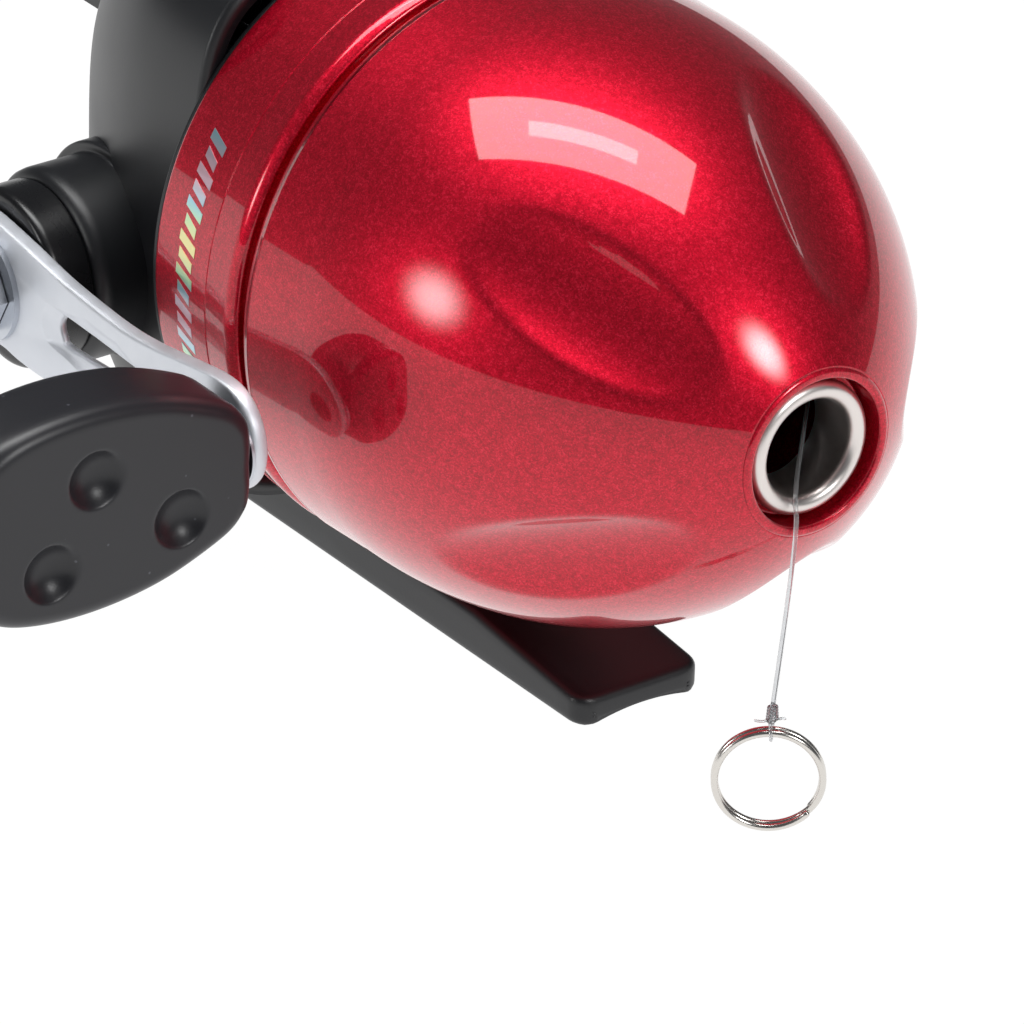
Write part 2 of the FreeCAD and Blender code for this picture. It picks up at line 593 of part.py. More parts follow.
def split_ring():
    """Two close turns of steel wire, hanging edge-on from the knot."""
    normal = V(SPLIT_FACE[0], SPLIT_FACE[1], 0)
    normal.normalize()
    top = line_end() - V(0, 0, KNOT_LENGTH + KNOT_GAP + SPLIT_WIRE_R)
    centre = top - V(0, 0, SPLIT_MEAN_R)
    turns = []
    for side in (-1, 1):
        middle = centre + normal * (side * SPLIT_WIRE_R * 0.97)
        turns.append(Part.makeTorus(SPLIT_MEAN_R, SPLIT_WIRE_R, middle, normal))
    return fuse(turns)


PARTS = {
    "front_cover": front_cover,
    "line_guide": line_guide,
    "guide_retainer": lambda: tube_x(44.2, RECESS_X - 1.5, 8.2, 5.62),
    "body_ring": body_ring,
    "deck_plate": deck_plate,
    "deck_screws": lambda: Part.makeCompound([deck_screw(y, z) for y, z in SCREW_PLACES]),
    "rear_housing": rear_housing,
    "reel_foot": reel_foot,
    "foot_screws": lambda: Part.makeCompound([foot_screw(x) for x in FOOT_SCREWS]),
    "pinion_bushing": lambda: fuse([tube_x(-15.7, 6.0, 5.0, 3.55), tube_x(-16.1, -15.6, 6.5, 3.55)]),
    "pinion_gear": pinion_gear,
    "centre_shaft": lambda: fuse([rod_x(-46.0, -42, 1.5), rod_x(-42.1, -41.1, 1.1), rod_x(-41.2, 19.2, 1.5)]),
    "shaft_clip": lambda: tube_x(-41.95, -41.25, 2.9, 1.12),
    "return_spring": return_spring,
    "winding_cup": winding_cup,
    "cup_nut": lambda: hexagon(15.05, 18.2, 6.5).cut(rod_x(14, 20, 1.5)),
    "snubber_ring": lambda: turned([(14.45, 20.5), (14.45, 23.5), ((15.6, 22), (15.3, 23.2)),
                                    ((14.45, 20.5), (15.3, 20.8))]),
    "pickup_guide": pickup_guide,
    "pickup_pin": pickup_pin,
    "spool": spool,
    "spool_line": lambda: turned([(-8.55, 11.05), (-8.55, 20.6), ((2.55, 20.6), (-3, 21.6)), (2.55, 11.05)]),
    "spool_clip": lambda: tube_x(4.25, 4.95, 9.2, 6.45),
    "drag_washer": lambda: tube_x(-11.45, -10.2, 15.0, 7.05),
    "drag_dial": drag_dial,
    "dial_axle": lambda: rod_x(-27.3, -11.6, 1.5, 0, DIAL_UP),
    "thumb_button": thumb_button,
    "crank_sleeve": lambda: fuse([tube_y(-34.9, -30.45, 9.2, 3.05), tube_y(-30.5, -27.6, 6.0, 3.05)]),
    "one_way_bearing": lambda: tube_y(-27.5, -19.5, 6.0, 3.04),
    "crank_shaft": crank_shaft,
    "drive_gear": drive_gear,
    "crank_clip": lambda: tube_y(9.6, 10.4, 5.2, 3.02),
    "crank_bushing": lambda: fuse([tube_y(11.5, 18.5, 4.5, 3.05), tube_y(10.7, 11.5, 6.0, 3.05)]),
    "crank_arm": crank_arm,
    "handle_washer": lambda: tube_y(-ARM_OUT - 0.6, -ARM_OUT, 5.6, 2.55),
    "handle_nut": handle_nut,
    "knob_post": knob_post,
    "knob_washer": lambda: on_knob_axis(ARM_OUT + 0.02, ARM_OUT + 0.3, 4.0).cut(
        on_knob_axis(ARM_OUT - 1, ARM_OUT + 2, 2.02)),
    "knob_paddle": knob_paddle,
    "fishing_line": fishing_line,
    "line_knot": line_knot,
    "split_ring": split_ring,
}


def main():
    os.makedirs("parts", exist_ok=True)
    for name, make in PARTS.items():
        shape = make()
        bad = "" if shape.isValid() else "  NOT VALID"
        print("%-16s %2d solid, %9.2f mm3%s" % (name, len(shape.Solids), shape.Volume, bad))
        shape.exportStep("parts/%s.step" % name)


main()
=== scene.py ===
"""Spincast fishing reel: the looks of each piece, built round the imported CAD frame, in metres."""
import math

import bmesh
import bpy
import numpy as np
from mathutils import Matrix, Vector


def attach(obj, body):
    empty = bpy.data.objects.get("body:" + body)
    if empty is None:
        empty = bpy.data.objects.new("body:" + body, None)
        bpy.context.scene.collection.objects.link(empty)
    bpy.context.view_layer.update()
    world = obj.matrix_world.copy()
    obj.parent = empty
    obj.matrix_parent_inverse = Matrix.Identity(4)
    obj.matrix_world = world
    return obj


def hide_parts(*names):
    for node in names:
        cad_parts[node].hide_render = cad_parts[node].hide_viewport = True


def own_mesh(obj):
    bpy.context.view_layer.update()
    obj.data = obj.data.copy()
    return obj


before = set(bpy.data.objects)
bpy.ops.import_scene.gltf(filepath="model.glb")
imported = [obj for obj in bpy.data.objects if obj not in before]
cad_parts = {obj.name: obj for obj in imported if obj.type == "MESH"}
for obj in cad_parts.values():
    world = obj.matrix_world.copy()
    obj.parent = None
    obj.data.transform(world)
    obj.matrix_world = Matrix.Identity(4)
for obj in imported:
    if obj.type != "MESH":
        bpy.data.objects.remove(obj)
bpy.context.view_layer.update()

# ---- Studio --------------------------------------------------------------------------------------
# A white table under one large overhead softbox, with two frosted globes: one to the reel's right and one
# ahead of its nose, brightest in their middles.  The table is lit through from below, so that it stays white.
camera_turn, camera_height, camera_roll = math.radians(52.985), math.radians(27.977), math.radians(1.7)
back = Vector((math.sin(camera_turn) * math.cos(camera_height),
               -math.cos(camera_turn) * math.cos(camera_height), math.sin(camera_height)))
level = Vector((math.cos(camera_turn), math.sin(camera_turn), 0))
upright = back.cross(level)
right = level * math.cos(camera_roll) + upright * math.sin(camera_roll)
up = upright * math.cos(camera_roll) - level * math.sin(camera_roll)
looked_at, aim_left, aim_down = Vector((0.031, 0, 0.03888)), 0.013542, 0.015128
aim = looked_at - right * aim_left - up * aim_down
camera_far, camera_lens, camera_sensor = 0.743251, 276.2, 36
camera = bpy.data.objects.new("camera", bpy.data.cameras.new("camera"))
bpy.context.scene.collection.objects.link(camera)
camera_axes = Matrix((right, up, back)).transposed().to_4x4()
camera.matrix_world = Matrix.Translation(aim + back * camera_far) @ camera_axes
camera.data.sensor_width = camera_sensor
camera.data.lens = camera_lens
camera.data.clip_start = 0.01
bpy.context.scene.camera = camera
bpy.context.scene.view_settings.view_transform = "Standard"


def linear(hex_colour):
    """The linear colour of an sRGB hex value such as #c81024."""
    parts = [int(hex_colour[i:i + 2], 16) / 255 for i in (1, 3, 5)]
    return tuple(c / 12.92 if c <= 0.04045 else ((c + 0.055) / 1.055) ** 2.4 for c in parts) + (1.0,)


def add_node(material, kind, settings=None, inputs=None):
    """Adds one node, sets its settings, and sets its inputs to values or links them to other outputs."""
    node = material.node_tree.nodes.new(kind)
    for setting, value in (settings or {}).items():
        setattr(node, setting, value)
    for socket, value in (inputs or {}).items():
        if isinstance(value, bpy.types.NodeSocket):
            material.node_tree.links.new(value, node.inputs[socket])
        else:
            node.inputs[socket].default_value = value
    return node


def new_material(name):
    """An empty node material and the output node that its shader goes to."""
    material = bpy.data.materials.new(name)
    material.use_nodes = True
    material.node_tree.nodes.clear()
    return material, add_node(material, "ShaderNodeOutputMaterial")


def finish_with(material, output, shader):
    """Joins the shader to the material's output."""
    material.node_tree.links.new(shader.outputs[0], output.inputs["Surface"])
    return material


def add_noise(material, place, scale, detail, roughness=0.5):
    """A noise texture fixed to the object."""
    return add_node(material, "ShaderNodeTexNoise", inputs={
        "Vector": place.outputs["Object"], "Scale": scale, "Detail": detail, "Roughness": roughness})


def add_range(material, value, to_low, to_high, from_low=0.0, from_high=1.0):
    """Carries a value from one range over to another."""
    return add_node(material, "ShaderNodeMapRange", inputs={
        "Value": value, "From Min": from_low, "From Max": from_high, "To Min": to_low, "To Max": to_high})


def add_ramp(material, factor, *stops):
    """A colour ramp through stops of position and colour; the first and last take the ramp's own ends."""
    ramp = add_node(material, "ShaderNodeValToRGB", inputs={"Fac": factor})
    held = ramp.color_ramp.elements
    for end, (position, colour) in ((held[0], stops[0]), (held[1], stops[-1])):
        end.color, end.position = linear(colour), position
    for position, colour in stops[1:-1]:
        held.new(position).color = linear(colour)
    return ramp


def placed_material(name):
    """An empty node material, its output, and a node that gives the object's own coordinates."""
    material, output = new_material(name)
    return material, output, add_node(material, "ShaderNodeTexCoord")


def worn_material(name, colour, scale, detail, smooth, dull, **looks):
    """A plain colour whose roughness drifts between smooth and dull over a noise."""
    material, output, place = placed_material(name)
    wear = add_noise(material, place, scale, detail)
    rough = add_range(material, wear.outputs["Fac"], smooth, dull)
    shader = add_node(material, "ShaderNodeBsdfPrincipled", inputs={
        "Base Color": linear(colour), "Roughness": rough.outputs["Result"], **looks})
    return finish_with(material, output, shader)


table_half, table_z = 6.0, -0.0006
table_mesh = bpy.data.meshes.new("table_top")
table_mesh.from_pydata([(-table_half, -table_half, table_z), (table_half, -table_half, table_z),
                        (table_half, table_half, table_z), (-table_half, table_half, table_z)],
                       [], [(0, 1, 2, 3)])
table = bpy.data.objects.new("table_top", table_mesh)
bpy.context.scene.collection.objects.link(table)
opal, opal_output = new_material("lit_opal_acrylic_table")
opal_shader = add_node(opal, "ShaderNodeBsdfPrincipled", inputs={
    "Base Color": linear("#2a2a2a"), "Roughness": 0.9, "Specular IOR Level": 0.0,
    "Emission Color": linear("#ffffff"), "Emission Strength": 1.0})
table_mesh.materials.append(finish_with(opal, opal_output, opal_shader))

world = bpy.data.worlds.new("studio")
bpy.context.scene.world = world
world.use_nodes = True
world.node_tree.nodes["Background"].inputs["Color"].default_value = linear("#e8ecf2")
world.node_tree.nodes["Background"].inputs["Strength"].default_value = 0.11


def add_lamp(name, place, aimed_at, size, power, shape="DISK", size_y=None, turn=0.0):
    """A soft lamp at a place, turned to face a point; turn spins a rectangular one about its beam."""
    lamp = bpy.data.objects.new(name, bpy.data.lights.new(name, "AREA"))
    bpy.context.scene.collection.objects.link(lamp)
    lamp.data.shape, lamp.data.size, lamp.data.energy = shape, size, power
    if size_y:
        lamp.data.size_y = size_y
    away = Vector(place) - Vector(aimed_at)
    lamp.matrix_world = (Matrix.Translation(place) @ away.to_track_quat("Z", "Y").to_matrix().to_4x4()
                         @ Matrix.Rotation(turn, 4, "Z"))
    return lamp


reel_middle, softbox_turn = (0.02, 0, 0.04), 1.90
add_lamp("softbox", (-0.06, -0.03, 0.69), reel_middle, 0.66, 3.9, "RECTANGLE", 0.26, softbox_turn)
add_lamp("softbox_middle", (-0.06, -0.03, 0.68), reel_middle, 0.30, 0.4, "RECTANGLE", 0.06, softbox_turn)
globe_aim, globe_size, globe_edge, globe_falloff = (0.03, 0, 0.04), 0.56, 0.48, 1.6
for globe_name, globe_place, globe_power in (("side_globe", (-0.18, -1.0, 0.33), 10.0),
                                             ("front_globe", (0.92, 0.12, 0.60), 18.0)):
    globe = add_lamp(globe_name, globe_place, globe_aim, globe_size, globe_power).data
    globe.use_nodes = True
    globe_spot = add_node(globe, "ShaderNodeNewGeometry")
    globe_away = add_node(globe, "ShaderNodeVectorMath", {"operation": "DISTANCE"}, {
        0: globe_spot.outputs["Parametric"], 1: (0.5, 0.5, 0.0)})
    globe_fade = add_node(globe, "ShaderNodeMapRange", {"interpolation_type": "SMOOTHERSTEP"}, {
        "Value": globe_away.outputs["Value"], "From Min": 0.0, "From Max": globe_edge,
        "To Min": 1.0, "To Max": 0.0})
    globe_glow = add_node(globe, "ShaderNodeMath", {"operation": "POWER"}, {
        0: globe_fade.outputs["Result"], 1: globe_falloff})
    globe.node_tree.links.new(globe_glow.outputs["Value"],
                              globe.node_tree.nodes["Emission"].inputs["Strength"])

# ---- Line ----------------------------------------------------------------------------------------
# Clear nylon monofilament, 0.45 mm, from inside the nose out through the guide; its way back to the spool
# is left out.  The ring that hangs on it bends it tight over the guide's lower lip.
line_r = 0.225
line_points = [(43.2, 9.4, 39.9), (49.0, 3.8, 37.0), (55.3, -2.1, 35.0), (56.7, -2.5, 31.6),
               (56.5, -4.4, 13.9)]
line_curve = bpy.data.curves.new("fishing_line_clear", "CURVE")
line_curve.dimensions = "3D"
line_spline = line_curve.splines.new("NURBS")
line_spline.points.add(len(line_points) - 1)
line_weighted = np.column_stack([np.array(line_points) / 1000, np.ones(len(line_points))])
line_spline.points.foreach_set("co", line_weighted.ravel())
line_spline.order_u = 3
line_spline.use_endpoint_u = True
line_spline.resolution_u = 24
line_curve.bevel_depth = line_r / 1000
line_curve.bevel_resolution = 4
line_curve.use_fill_caps = True
line = bpy.data.objects.new("fishing_line_clear", line_curve)
bpy.context.scene.collection.objects.link(line)

# Monofilament is glassy: it shows as a fine grey thread with white glints, never as a solid colour. The
# glints are painted highlights in its base colour.
mono, mono_output, mono_place = placed_material("clear_nylon_monofilament")
# Painted glints: this noise lifts the base colour from light grey to near white in specks about a millimetre
# across.
mono_painted_glints = add_noise(mono, mono_place, 900.0, 2.0)
mono_glint_colour = add_ramp(mono, mono_painted_glints.outputs["Fac"], (0.0, "#d6d8db"), (1.0, "#f6f7f8"))
mono_shader = add_node(mono, "ShaderNodeBsdfPrincipled", inputs={
    "Base Color": mono_glint_colour.outputs["Color"], "Roughness": 0.12, "IOR": 1.53, "Transmission Weight": 0.85})
finish_with(mono, mono_output, mono_shader)
line_curve.materials.append(mono)
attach(line, "frame")
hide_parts("fishing_line")


def closed_mesh(name, grid, material, loops=False):
    """A closed skin of quads through a grid of points in millimetres, rows by columns.  Columns always meet
    round; rows meet round if loops is true, and otherwise the first and last rows close on themselves.
    The faces are turned outwards if the volume they enclose, a sum of corner triple products, is negative."""
    rows, columns = grid.shape[:2]
    index = np.arange(rows * columns).reshape(rows, columns)
    beside, below = np.roll(index, -1, 1), np.roll(index, -1, 0)
    quads = np.stack([index, beside, np.roll(beside, -1, 0), below], -1)
    quads = (quads if loops else quads[:-1]).reshape(-1, 4)
    points = grid.reshape(-1, 3) / 1000
    a, b, c, d = (points[quads[:, i]] for i in range(4))
    if (np.cross(a, b) * c).sum() + (np.cross(a, c) * d).sum() < 0:
        quads = quads[:, ::-1]
    mesh = bpy.data.meshes.new(name)
    mesh.from_pydata(points.tolist(), [], quads.tolist())
    welded = bmesh.new()
    welded.from_mesh(mesh)
    bmesh.ops.remove_doubles(welded, verts=welded.verts, dist=2e-7)
    welded.to_mesh(mesh)
    welded.free()
    mesh.shade_smooth()
    mesh.materials.append(material)
    return mesh


def place_piece(mesh, body):
    """Puts a finished mesh into the scene at the origin and lets it ride on a body."""
    piece = bpy.data.objects.new(mesh.name, mesh)
    bpy.context.scene.collection.objects.link(piece)
    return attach(piece, body)


def round_wire(path, radius, aside, sides=12):
    """A round wire along points: each section is a circle across the path, set out from a direction aside
    that the path never runs along, and three shrinking circles make each end a dome."""
    along = np.gradient(path, axis=0)
    along /= np.linalg.norm(along, axis=1)[:, None]
    across = np.cross(along, aside)
    across /= np.linalg.norm(across, axis=1)[:, None]
    third = np.cross(along, across)
    dome_out, dome_wide = np.array([1.0, 0.8, 0.45]), np.array([0, 0.6, 0.9])
    width = np.concatenate([dome_wide, np.ones(len(path)), dome_wide[::-1]]) * radius
    path = np.vstack([path[0] - along[0] * radius * dome_out[:, None], path,
                      path[-1] + along[-1] * radius * dome_out[::-1, None]])
    across, third = (np.vstack([np.repeat(way[:1], len(dome_out), 0), way,
                                np.repeat(way[-1:], len(dome_out), 0)]) for way in (across, third))
    angle = np.linspace(0, 2 * np.pi, sides, endpoint=False)
    return (path[:, None] + width[:, None, None] * (np.cos(angle)[None, :, None] * across[:, None]
                                                    + np.sin(angle)[None, :, None] * third[:, None]))


# ---- Knot ----------------------------------------------------------------------------------------
# A clinch knot: five wraps drawn down on the line, an eye round both turns of the ring, and two tag
# ends that were never trimmed and lie along the ring.
line_end = np.array(line_points[-1])
knot_length, knot_gap, knot_wraps = 1.85, 0.45, 5
wrap_wire, eye_wire, tag_wire, eye_r = 0.2, 0.17, 0.13, 0.98
ring_out = np.array([0.8, -0.6, 0.0])
ring_along = np.array([0.6, 0.8, 0.0])
down = np.array([0, 0, -1.0])
turn = np.linspace(0, 1, 160)[:, None]
wrap_angle = turn * 2 * knot_wraps * np.pi
wraps = (line_end + down * (0.1 + (knot_length - 0.35) * turn)
         + (0.34 + 0.1 * turn) * (np.cos(wrap_angle) * ring_out + np.sin(wrap_angle) * ring_along))
eye_centre = line_end + down * (knot_length + 0.8)
eye_turn = np.linspace(0, 2 * np.pi, 60)[:, None]
eye = (eye_centre + eye_r * np.sin(eye_turn) * ring_out - eye_r * np.cos(eye_turn) * down
       + 0.22 * (eye_turn / np.pi - 1) * ring_along)
core = line_end + down * (knot_length * np.linspace(-0.08, 0.85, 12)[:, None])


def tag_end(side, start, rise, fall, reach, sway, bend):
    """A tag end that leaves the knot to one side and arches along the ring."""
    t = np.linspace(0, 1, 30)[:, None]
    return (line_end + down * (knot_length - start - rise * t + fall * t ** 2)
            + side * (0.3 + reach * t) * ring_along + sway * ring_out * np.sin(t * bend))


knot = bmesh.new()
for strand_path, strand_r, strand_aside in (
        (wraps, wrap_wire, down), (eye, eye_wire, ring_along),
        (tag_end(-1, 0.25, 0.5, 0.55, 1.3, 0.5, 3), tag_wire, ring_out),
        (tag_end(1, 0.45, 0.9, 1.1, 0.9, 0.4, 4), tag_wire, ring_out), (core, wrap_wire, ring_along)):
    strand = closed_mesh("knot_strand", round_wire(strand_path, strand_r, strand_aside, 8), mono)
    knot.from_mesh(strand)
    bpy.data.meshes.remove(strand)
knot_mesh = bpy.data.meshes.new("clinch_knot")
knot.to_mesh(knot_mesh)
knot.free()
knot_mesh.shade_smooth()
knot_mesh.materials.append(mono)
clinch_knot = place_piece(knot_mesh, "frame")
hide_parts("line_knot")

# ---- Split ring ----------------------------------------------------------------------------------
# Two turns of nickel-plated spring wire, sprung a little apart, that stops the line from running back
# into the reel.  The wire's ends show as a small step.
split_r, split_wire, split_apart, split_splay = 5.2, 0.35, 0.36, 0.22
split_centre = line_end + down * (knot_length + knot_gap + split_wire + split_r)
coil = np.linspace(0, 4 * np.pi - 0.12, 300)[:, None]
coil_angle = coil + math.radians(-38)
spread = np.tanh((coil - 2 * np.pi) * 2.2)
splay = split_splay * np.sin(coil / 2 + 0.9) ** 2
split_path = (split_centre
              + (split_r - splay) * (np.cos(coil_angle) * ring_along - np.sin(coil_angle) * down)
              + ring_out * split_apart * spread)

# Bright nickel over a drawn wire: sharp reflections, broken by very fine marks.
nickel = worn_material("nickel_plated_wire", "#dcd8d2", 1500.0, 3.0, 0.12, 0.3, Metallic=1.0)
split_skin = round_wire(split_path, split_wire, ring_out, 16)
split = place_piece(closed_mesh("split_ring_wire", split_skin, nickel), "ring")
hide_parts("split_ring")

# ---- Foot ----------------------------------------------------------------------------------------
# Moulded shoe of glass-filled nylon that lies on the rod: thin ramped tips for the seat's hoods, a
# hollowed sole, and a stem that carries the housing on two screws.
joint_x, axis_z = 6.0, 38.9
foot_half_length, foot_half_width, foot_edge, foot_corner = 31.0, 7.5, 0.8, 2.0


def foot_top(x):
    """Height of the foot's top along its length, in straight runs eased by a running average."""
    runs_x = [-foot_half_length, -29.9, -25.5, -10.6, -9.6, -8.4, -6.2, 13.0, foot_half_length]
    runs_z = [3.0, 3.1, 9.4, 9.4, 7.2, 5.6, 5.0, 5.0, 3.0]
    near = np.linspace(-0.7, 0.7, 9)
    return np.interp(x[:, None] + near, runs_x, runs_z).mean(1)


def foot_grid():
    """Rounded-rectangle sections along X.  Half width and height ease in quarter circles at each tip, and
    the sole lifts as a shallow cylinder near the tips."""
    quarter = np.linspace(0, np.pi / 2, 5)
    arc = foot_corner * (1 - np.cos(np.linspace(0, np.pi / 2, 7)))
    inset = np.concatenate([arc[:-1], [foot_corner, 4, 6.5]])
    middle = np.linspace(-foot_half_length + 8, foot_half_length - 8, 70)
    x = np.concatenate([-foot_half_length + inset, middle, (foot_half_length - inset)[::-1]])
    x = np.concatenate([x[:1], x, x[-1:]])
    reach = np.clip(foot_half_length - np.abs(x), 0, None)
    short = np.clip(foot_corner - reach, 0, None)
    half = foot_half_width - foot_corner + np.sqrt(foot_corner ** 2 - short ** 2)
    droop = foot_edge - np.sqrt(foot_edge ** 2 - np.clip(foot_edge - reach, 0, None) ** 2)
    height = foot_top(x) - droop
    flat = np.linspace(-1, 1, 13)[1:-1]
    side = np.linspace(0, 1, 5)[1:-1]
    corner, level_run, wall = np.ones(len(quarter)), np.ones(len(flat)), np.ones(len(side))
    y_share = np.concatenate([corner, flat[::-1], -corner, -wall, -corner, flat, corner, wall])
    y_arc = np.concatenate([np.cos(quarter), 0 * flat, -np.sin(quarter), -wall, -np.cos(quarter), 0 * flat,
                            np.sin(quarter), wall])
    z_share = np.concatenate([corner, level_run, corner, side[::-1], 0 * corner, 0 * flat, 0 * corner, side])
    z_arc = np.concatenate([np.sin(quarter), level_run, np.cos(quarter), 0 * side, -np.sin(quarter),
                            -level_run, -np.cos(quarter), 0 * side])
    y = (half - foot_edge)[:, None] * y_share + foot_edge * y_arc
    z = foot_edge + (height - 2 * foot_edge)[:, None] * z_share + foot_edge * z_arc
    hollow = np.clip(0.9 - y ** 2 / 48, 0, None) * (np.abs(x) > 10)[:, None]
    z = np.where(z_share[None, :] == 0, np.maximum(z, hollow), z)
    z[[0, -1]] = (height[[0, -1]] / 2)[:, None]
    return np.stack([np.repeat(x[:, None], len(y_share), 1), y, z], -1)


# Black glass-filled nylon, spark-eroded mould: a soft grey sheen over a grain of about a quarter of a
# millimetre, with slightly paler clouds.
nylon, nylon_output, nylon_place = placed_material("black_moulded_nylon")
nylon_grain = add_noise(nylon, nylon_place, 3800.0, 3.0, 0.6)
nylon_clouds = add_noise(nylon, nylon_place, 60.0, 4.0)
nylon_colour = add_ramp(nylon, nylon_clouds.outputs["Fac"], (0.35, "#131417"), (0.7, "#1a1b1e"))
nylon_rough = add_range(nylon, nylon_clouds.outputs["Fac"], 0.34, 0.48)
nylon_bump = add_node(nylon, "ShaderNodeBump", inputs={
    "Height": nylon_grain.outputs["Fac"], "Strength": 0.16, "Distance": 0.00004})
nylon_shader = add_node(nylon, "ShaderNodeBsdfPrincipled", inputs={
    "Base Color": nylon_colour.outputs["Color"], "Roughness": nylon_rough.outputs["Result"], "IOR": 1.53,
    "Normal": nylon_bump.outputs["Normal"]})
finish_with(nylon, nylon_output, nylon_shader)
foot = place_piece(closed_mesh("foot_shoe", foot_grid(), nylon), "frame")
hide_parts("reel_foot")


def refinish(node, material):
    """Gives a piece carried over from the CAD its own finish."""
    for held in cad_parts[node].material_slots:
        held.material = material


# Zinc-plated screws and nuts: a bluish bright plate, slightly cloudy.
zinc_plate = worn_material("bright_zinc_plate", "#c9cdd4", 700.0, 5.0, 0.22, 0.42, Metallic=1.0)
refinish("foot_screws", zinc_plate)

# ---- Rear housing --------------------------------------------------------------------------------
# Injection-moulded ABS shell behind the ring: flat-sided at the ring, drawn in to an oval stern, with
# the button's opening at the top back and the drag wheel's slot behind the ring.
housing_front, housing_back = -15.6, -56.5
housing_half_w, housing_half_h, housing_wall = 25.0, 29.5, 2.2
housing_tip = (housing_back, -3)
oval_half_w, oval_long, oval_flatness, inner_share = 25.6, 40.95, 3, 0.945


def through(knots, count):
    """A smooth line through knots: on each span a Catmull-Rom cubic, with the ends carried on straight."""
    knots = np.asarray(knots, float)
    held = np.vstack([2 * knots[0] - knots[1], knots, 2 * knots[-1] - knots[-2]])
    t = np.linspace(0, len(knots) - 1, count)
    span = np.minimum(t.astype(int), len(knots) - 2)
    f = (t - span)[:, None]
    a, b, c, d = (held[span + i] for i in range(4))
    return b + 0.5 * f * (c - a + f * (2 * a - 5 * b + 4 * c - d + f * (3 * (b - c) + d - a)))


def housing_grid():
    """Super-ellipse sections along X, squarer at the ring and rounder at the stern: half width follows an
    oval plan, top and bottom follow the side view.  The inner skin is the same form, a wall smaller."""
    side_top = through([(housing_front, housing_half_h), (-24, 29.1), (-32, 27.4), (-44, 21.5), (-52, 12),
                        (-55.6, 4), housing_tip], 400)
    side_low = through([(housing_front, -housing_half_h), (-31, -29.3), (-43, -26.6), (-52, -17.5),
                        (-55.6, -9), housing_tip], 400)
    sweep = np.sin(np.linspace(0, np.pi / 2, 90))
    x = housing_front + (housing_back - housing_front) * sweep
    top = np.interp(-x, -side_top[:, 0], side_top[:, 1])
    low = np.interp(-x, -side_low[:, 0], side_low[:, 1])
    oval = oval_half_w * np.sqrt(np.clip(1 - ((x - housing_front) / oval_long) ** 2, 0, 1))
    half_w = oval - np.log1p(np.exp((oval - housing_half_w) * oval_flatness)) / oval_flatness
    half_w = half_w * np.sqrt(np.clip(1 - np.clip((-x - 50) / 6.5, 0, 1) ** 4, 0, 1))
    half_h, middle = (top - low) / 2, (top + low) / 2
    power = 2 / (4.6 - 2.0 * sweep ** 3)
    angle = np.linspace(0, 2 * np.pi, 256, endpoint=False)
    c, s = np.cos(angle), np.sin(angle)
    y = half_w[:, None] * np.sign(c) * np.abs(c) ** power[:, None]
    z = middle[:, None] + half_h[:, None] * np.sign(s) * np.abs(s) ** power[:, None]
    outer = np.stack([np.repeat(x[:, None], len(angle), 1) + joint_x, y, z + axis_z], -1)
    shrink = 1 - housing_wall / np.maximum(np.hypot(y, z), 12)
    inner_x = np.repeat((housing_front + (x - housing_front) * inner_share)[:, None], len(angle), 1)
    inner = np.stack([inner_x + joint_x, y * shrink, z * shrink + axis_z], -1)
    return np.concatenate([outer[::-1], inner])


def rounded_box(low, high):
    """A box cutter whose sections are super-ellipses of high power, so that its corners are eased."""
    angle, ease = np.linspace(0, 2 * np.pi, 64, endpoint=False), 0.12
    c, s = np.cos(angle), np.sin(angle)
    y, z = np.sign(c) * np.abs(c) ** ease, np.sign(s) * np.abs(s) ** ease
    low, high = np.array(low), np.array(high)
    middle, half = (low + high) / 2, (high - low) / 2
    x_rows = np.array([low[0], low[0], high[0], high[0]])
    shares = np.array([0, 1, 1, 0])[:, None]
    return np.stack([np.repeat(x_rows[:, None], len(angle), 1), middle[1] + half[1] * shares * y,
                     middle[2] + half[2] * shares * z], -1)


def cut_out(piece, grids):
    """Cuts closed shapes out of a piece with an exact boolean, and keeps only the result."""
    for grid in grids:
        cutter = bpy.data.objects.new("cutter", closed_mesh("cutter", grid, piece.data.materials[0]))
        bpy.context.scene.collection.objects.link(cutter)
        cut = piece.modifiers.new("cut", "BOOLEAN")
        cut.operation, cut.solver, cut.object = "DIFFERENCE", "EXACT", cutter
        bpy.context.view_layer.update()
        result = bpy.data.meshes.new_from_object(piece.evaluated_get(bpy.context.evaluated_depsgraph_get()))
        result.name = piece.name
        piece.modifiers.clear()
        piece.data = result
        bpy.data.objects.remove(cutter)


housing = place_piece(closed_mesh("housing_shell", housing_grid(), nylon), "frame")
button_opening = rounded_box((-64 + joint_x, -10.4, 7.1 + axis_z), (-41 + joint_x, 10.4, 19.4 + axis_z))
dial_slot = rounded_box((-24.5 + joint_x, -10.6, 20.0 + axis_z), (-20.0 + joint_x, 10.6, 34.0 + axis_z))
cut_out(housing, [button_opening, dial_slot])
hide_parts("rear_housing")


def eased(corners, radii, steps=5):
    """A closed outline through corners, each cut back by its radius along both sides and joined by a
    quadratic curve with the corner as its middle control point, plus a holding point just outside each
    curve.  A cut takes at most 0.42 of the shorter side."""
    corners = np.asarray(corners, float)
    before, after = np.roll(corners, 1, 0) - corners, np.roll(corners, -1, 0) - corners
    long_before, long_after = np.linalg.norm(before, axis=1), np.linalg.norm(after, axis=1)
    room = 0.42 * np.minimum(long_before, long_after)
    cut = np.minimum(np.broadcast_to(radii, long_before.shape), room)[:, None]
    enter = corners + before / long_before[:, None] * cut
    leave = corners + after / long_after[:, None] * cut
    t = np.linspace(0, 1, steps)[None, :, None]
    curve = (1 - t) ** 2 * enter[:, None] + 2 * t * (1 - t) * corners[:, None] + t ** 2 * leave[:, None]
    hold_in, hold_out = enter + (enter - corners) * 0.18, leave + (leave - corners) * 0.18
    return np.concatenate([hold_in[:, None], curve, hold_out[:, None]], 1).reshape(-1, 2)


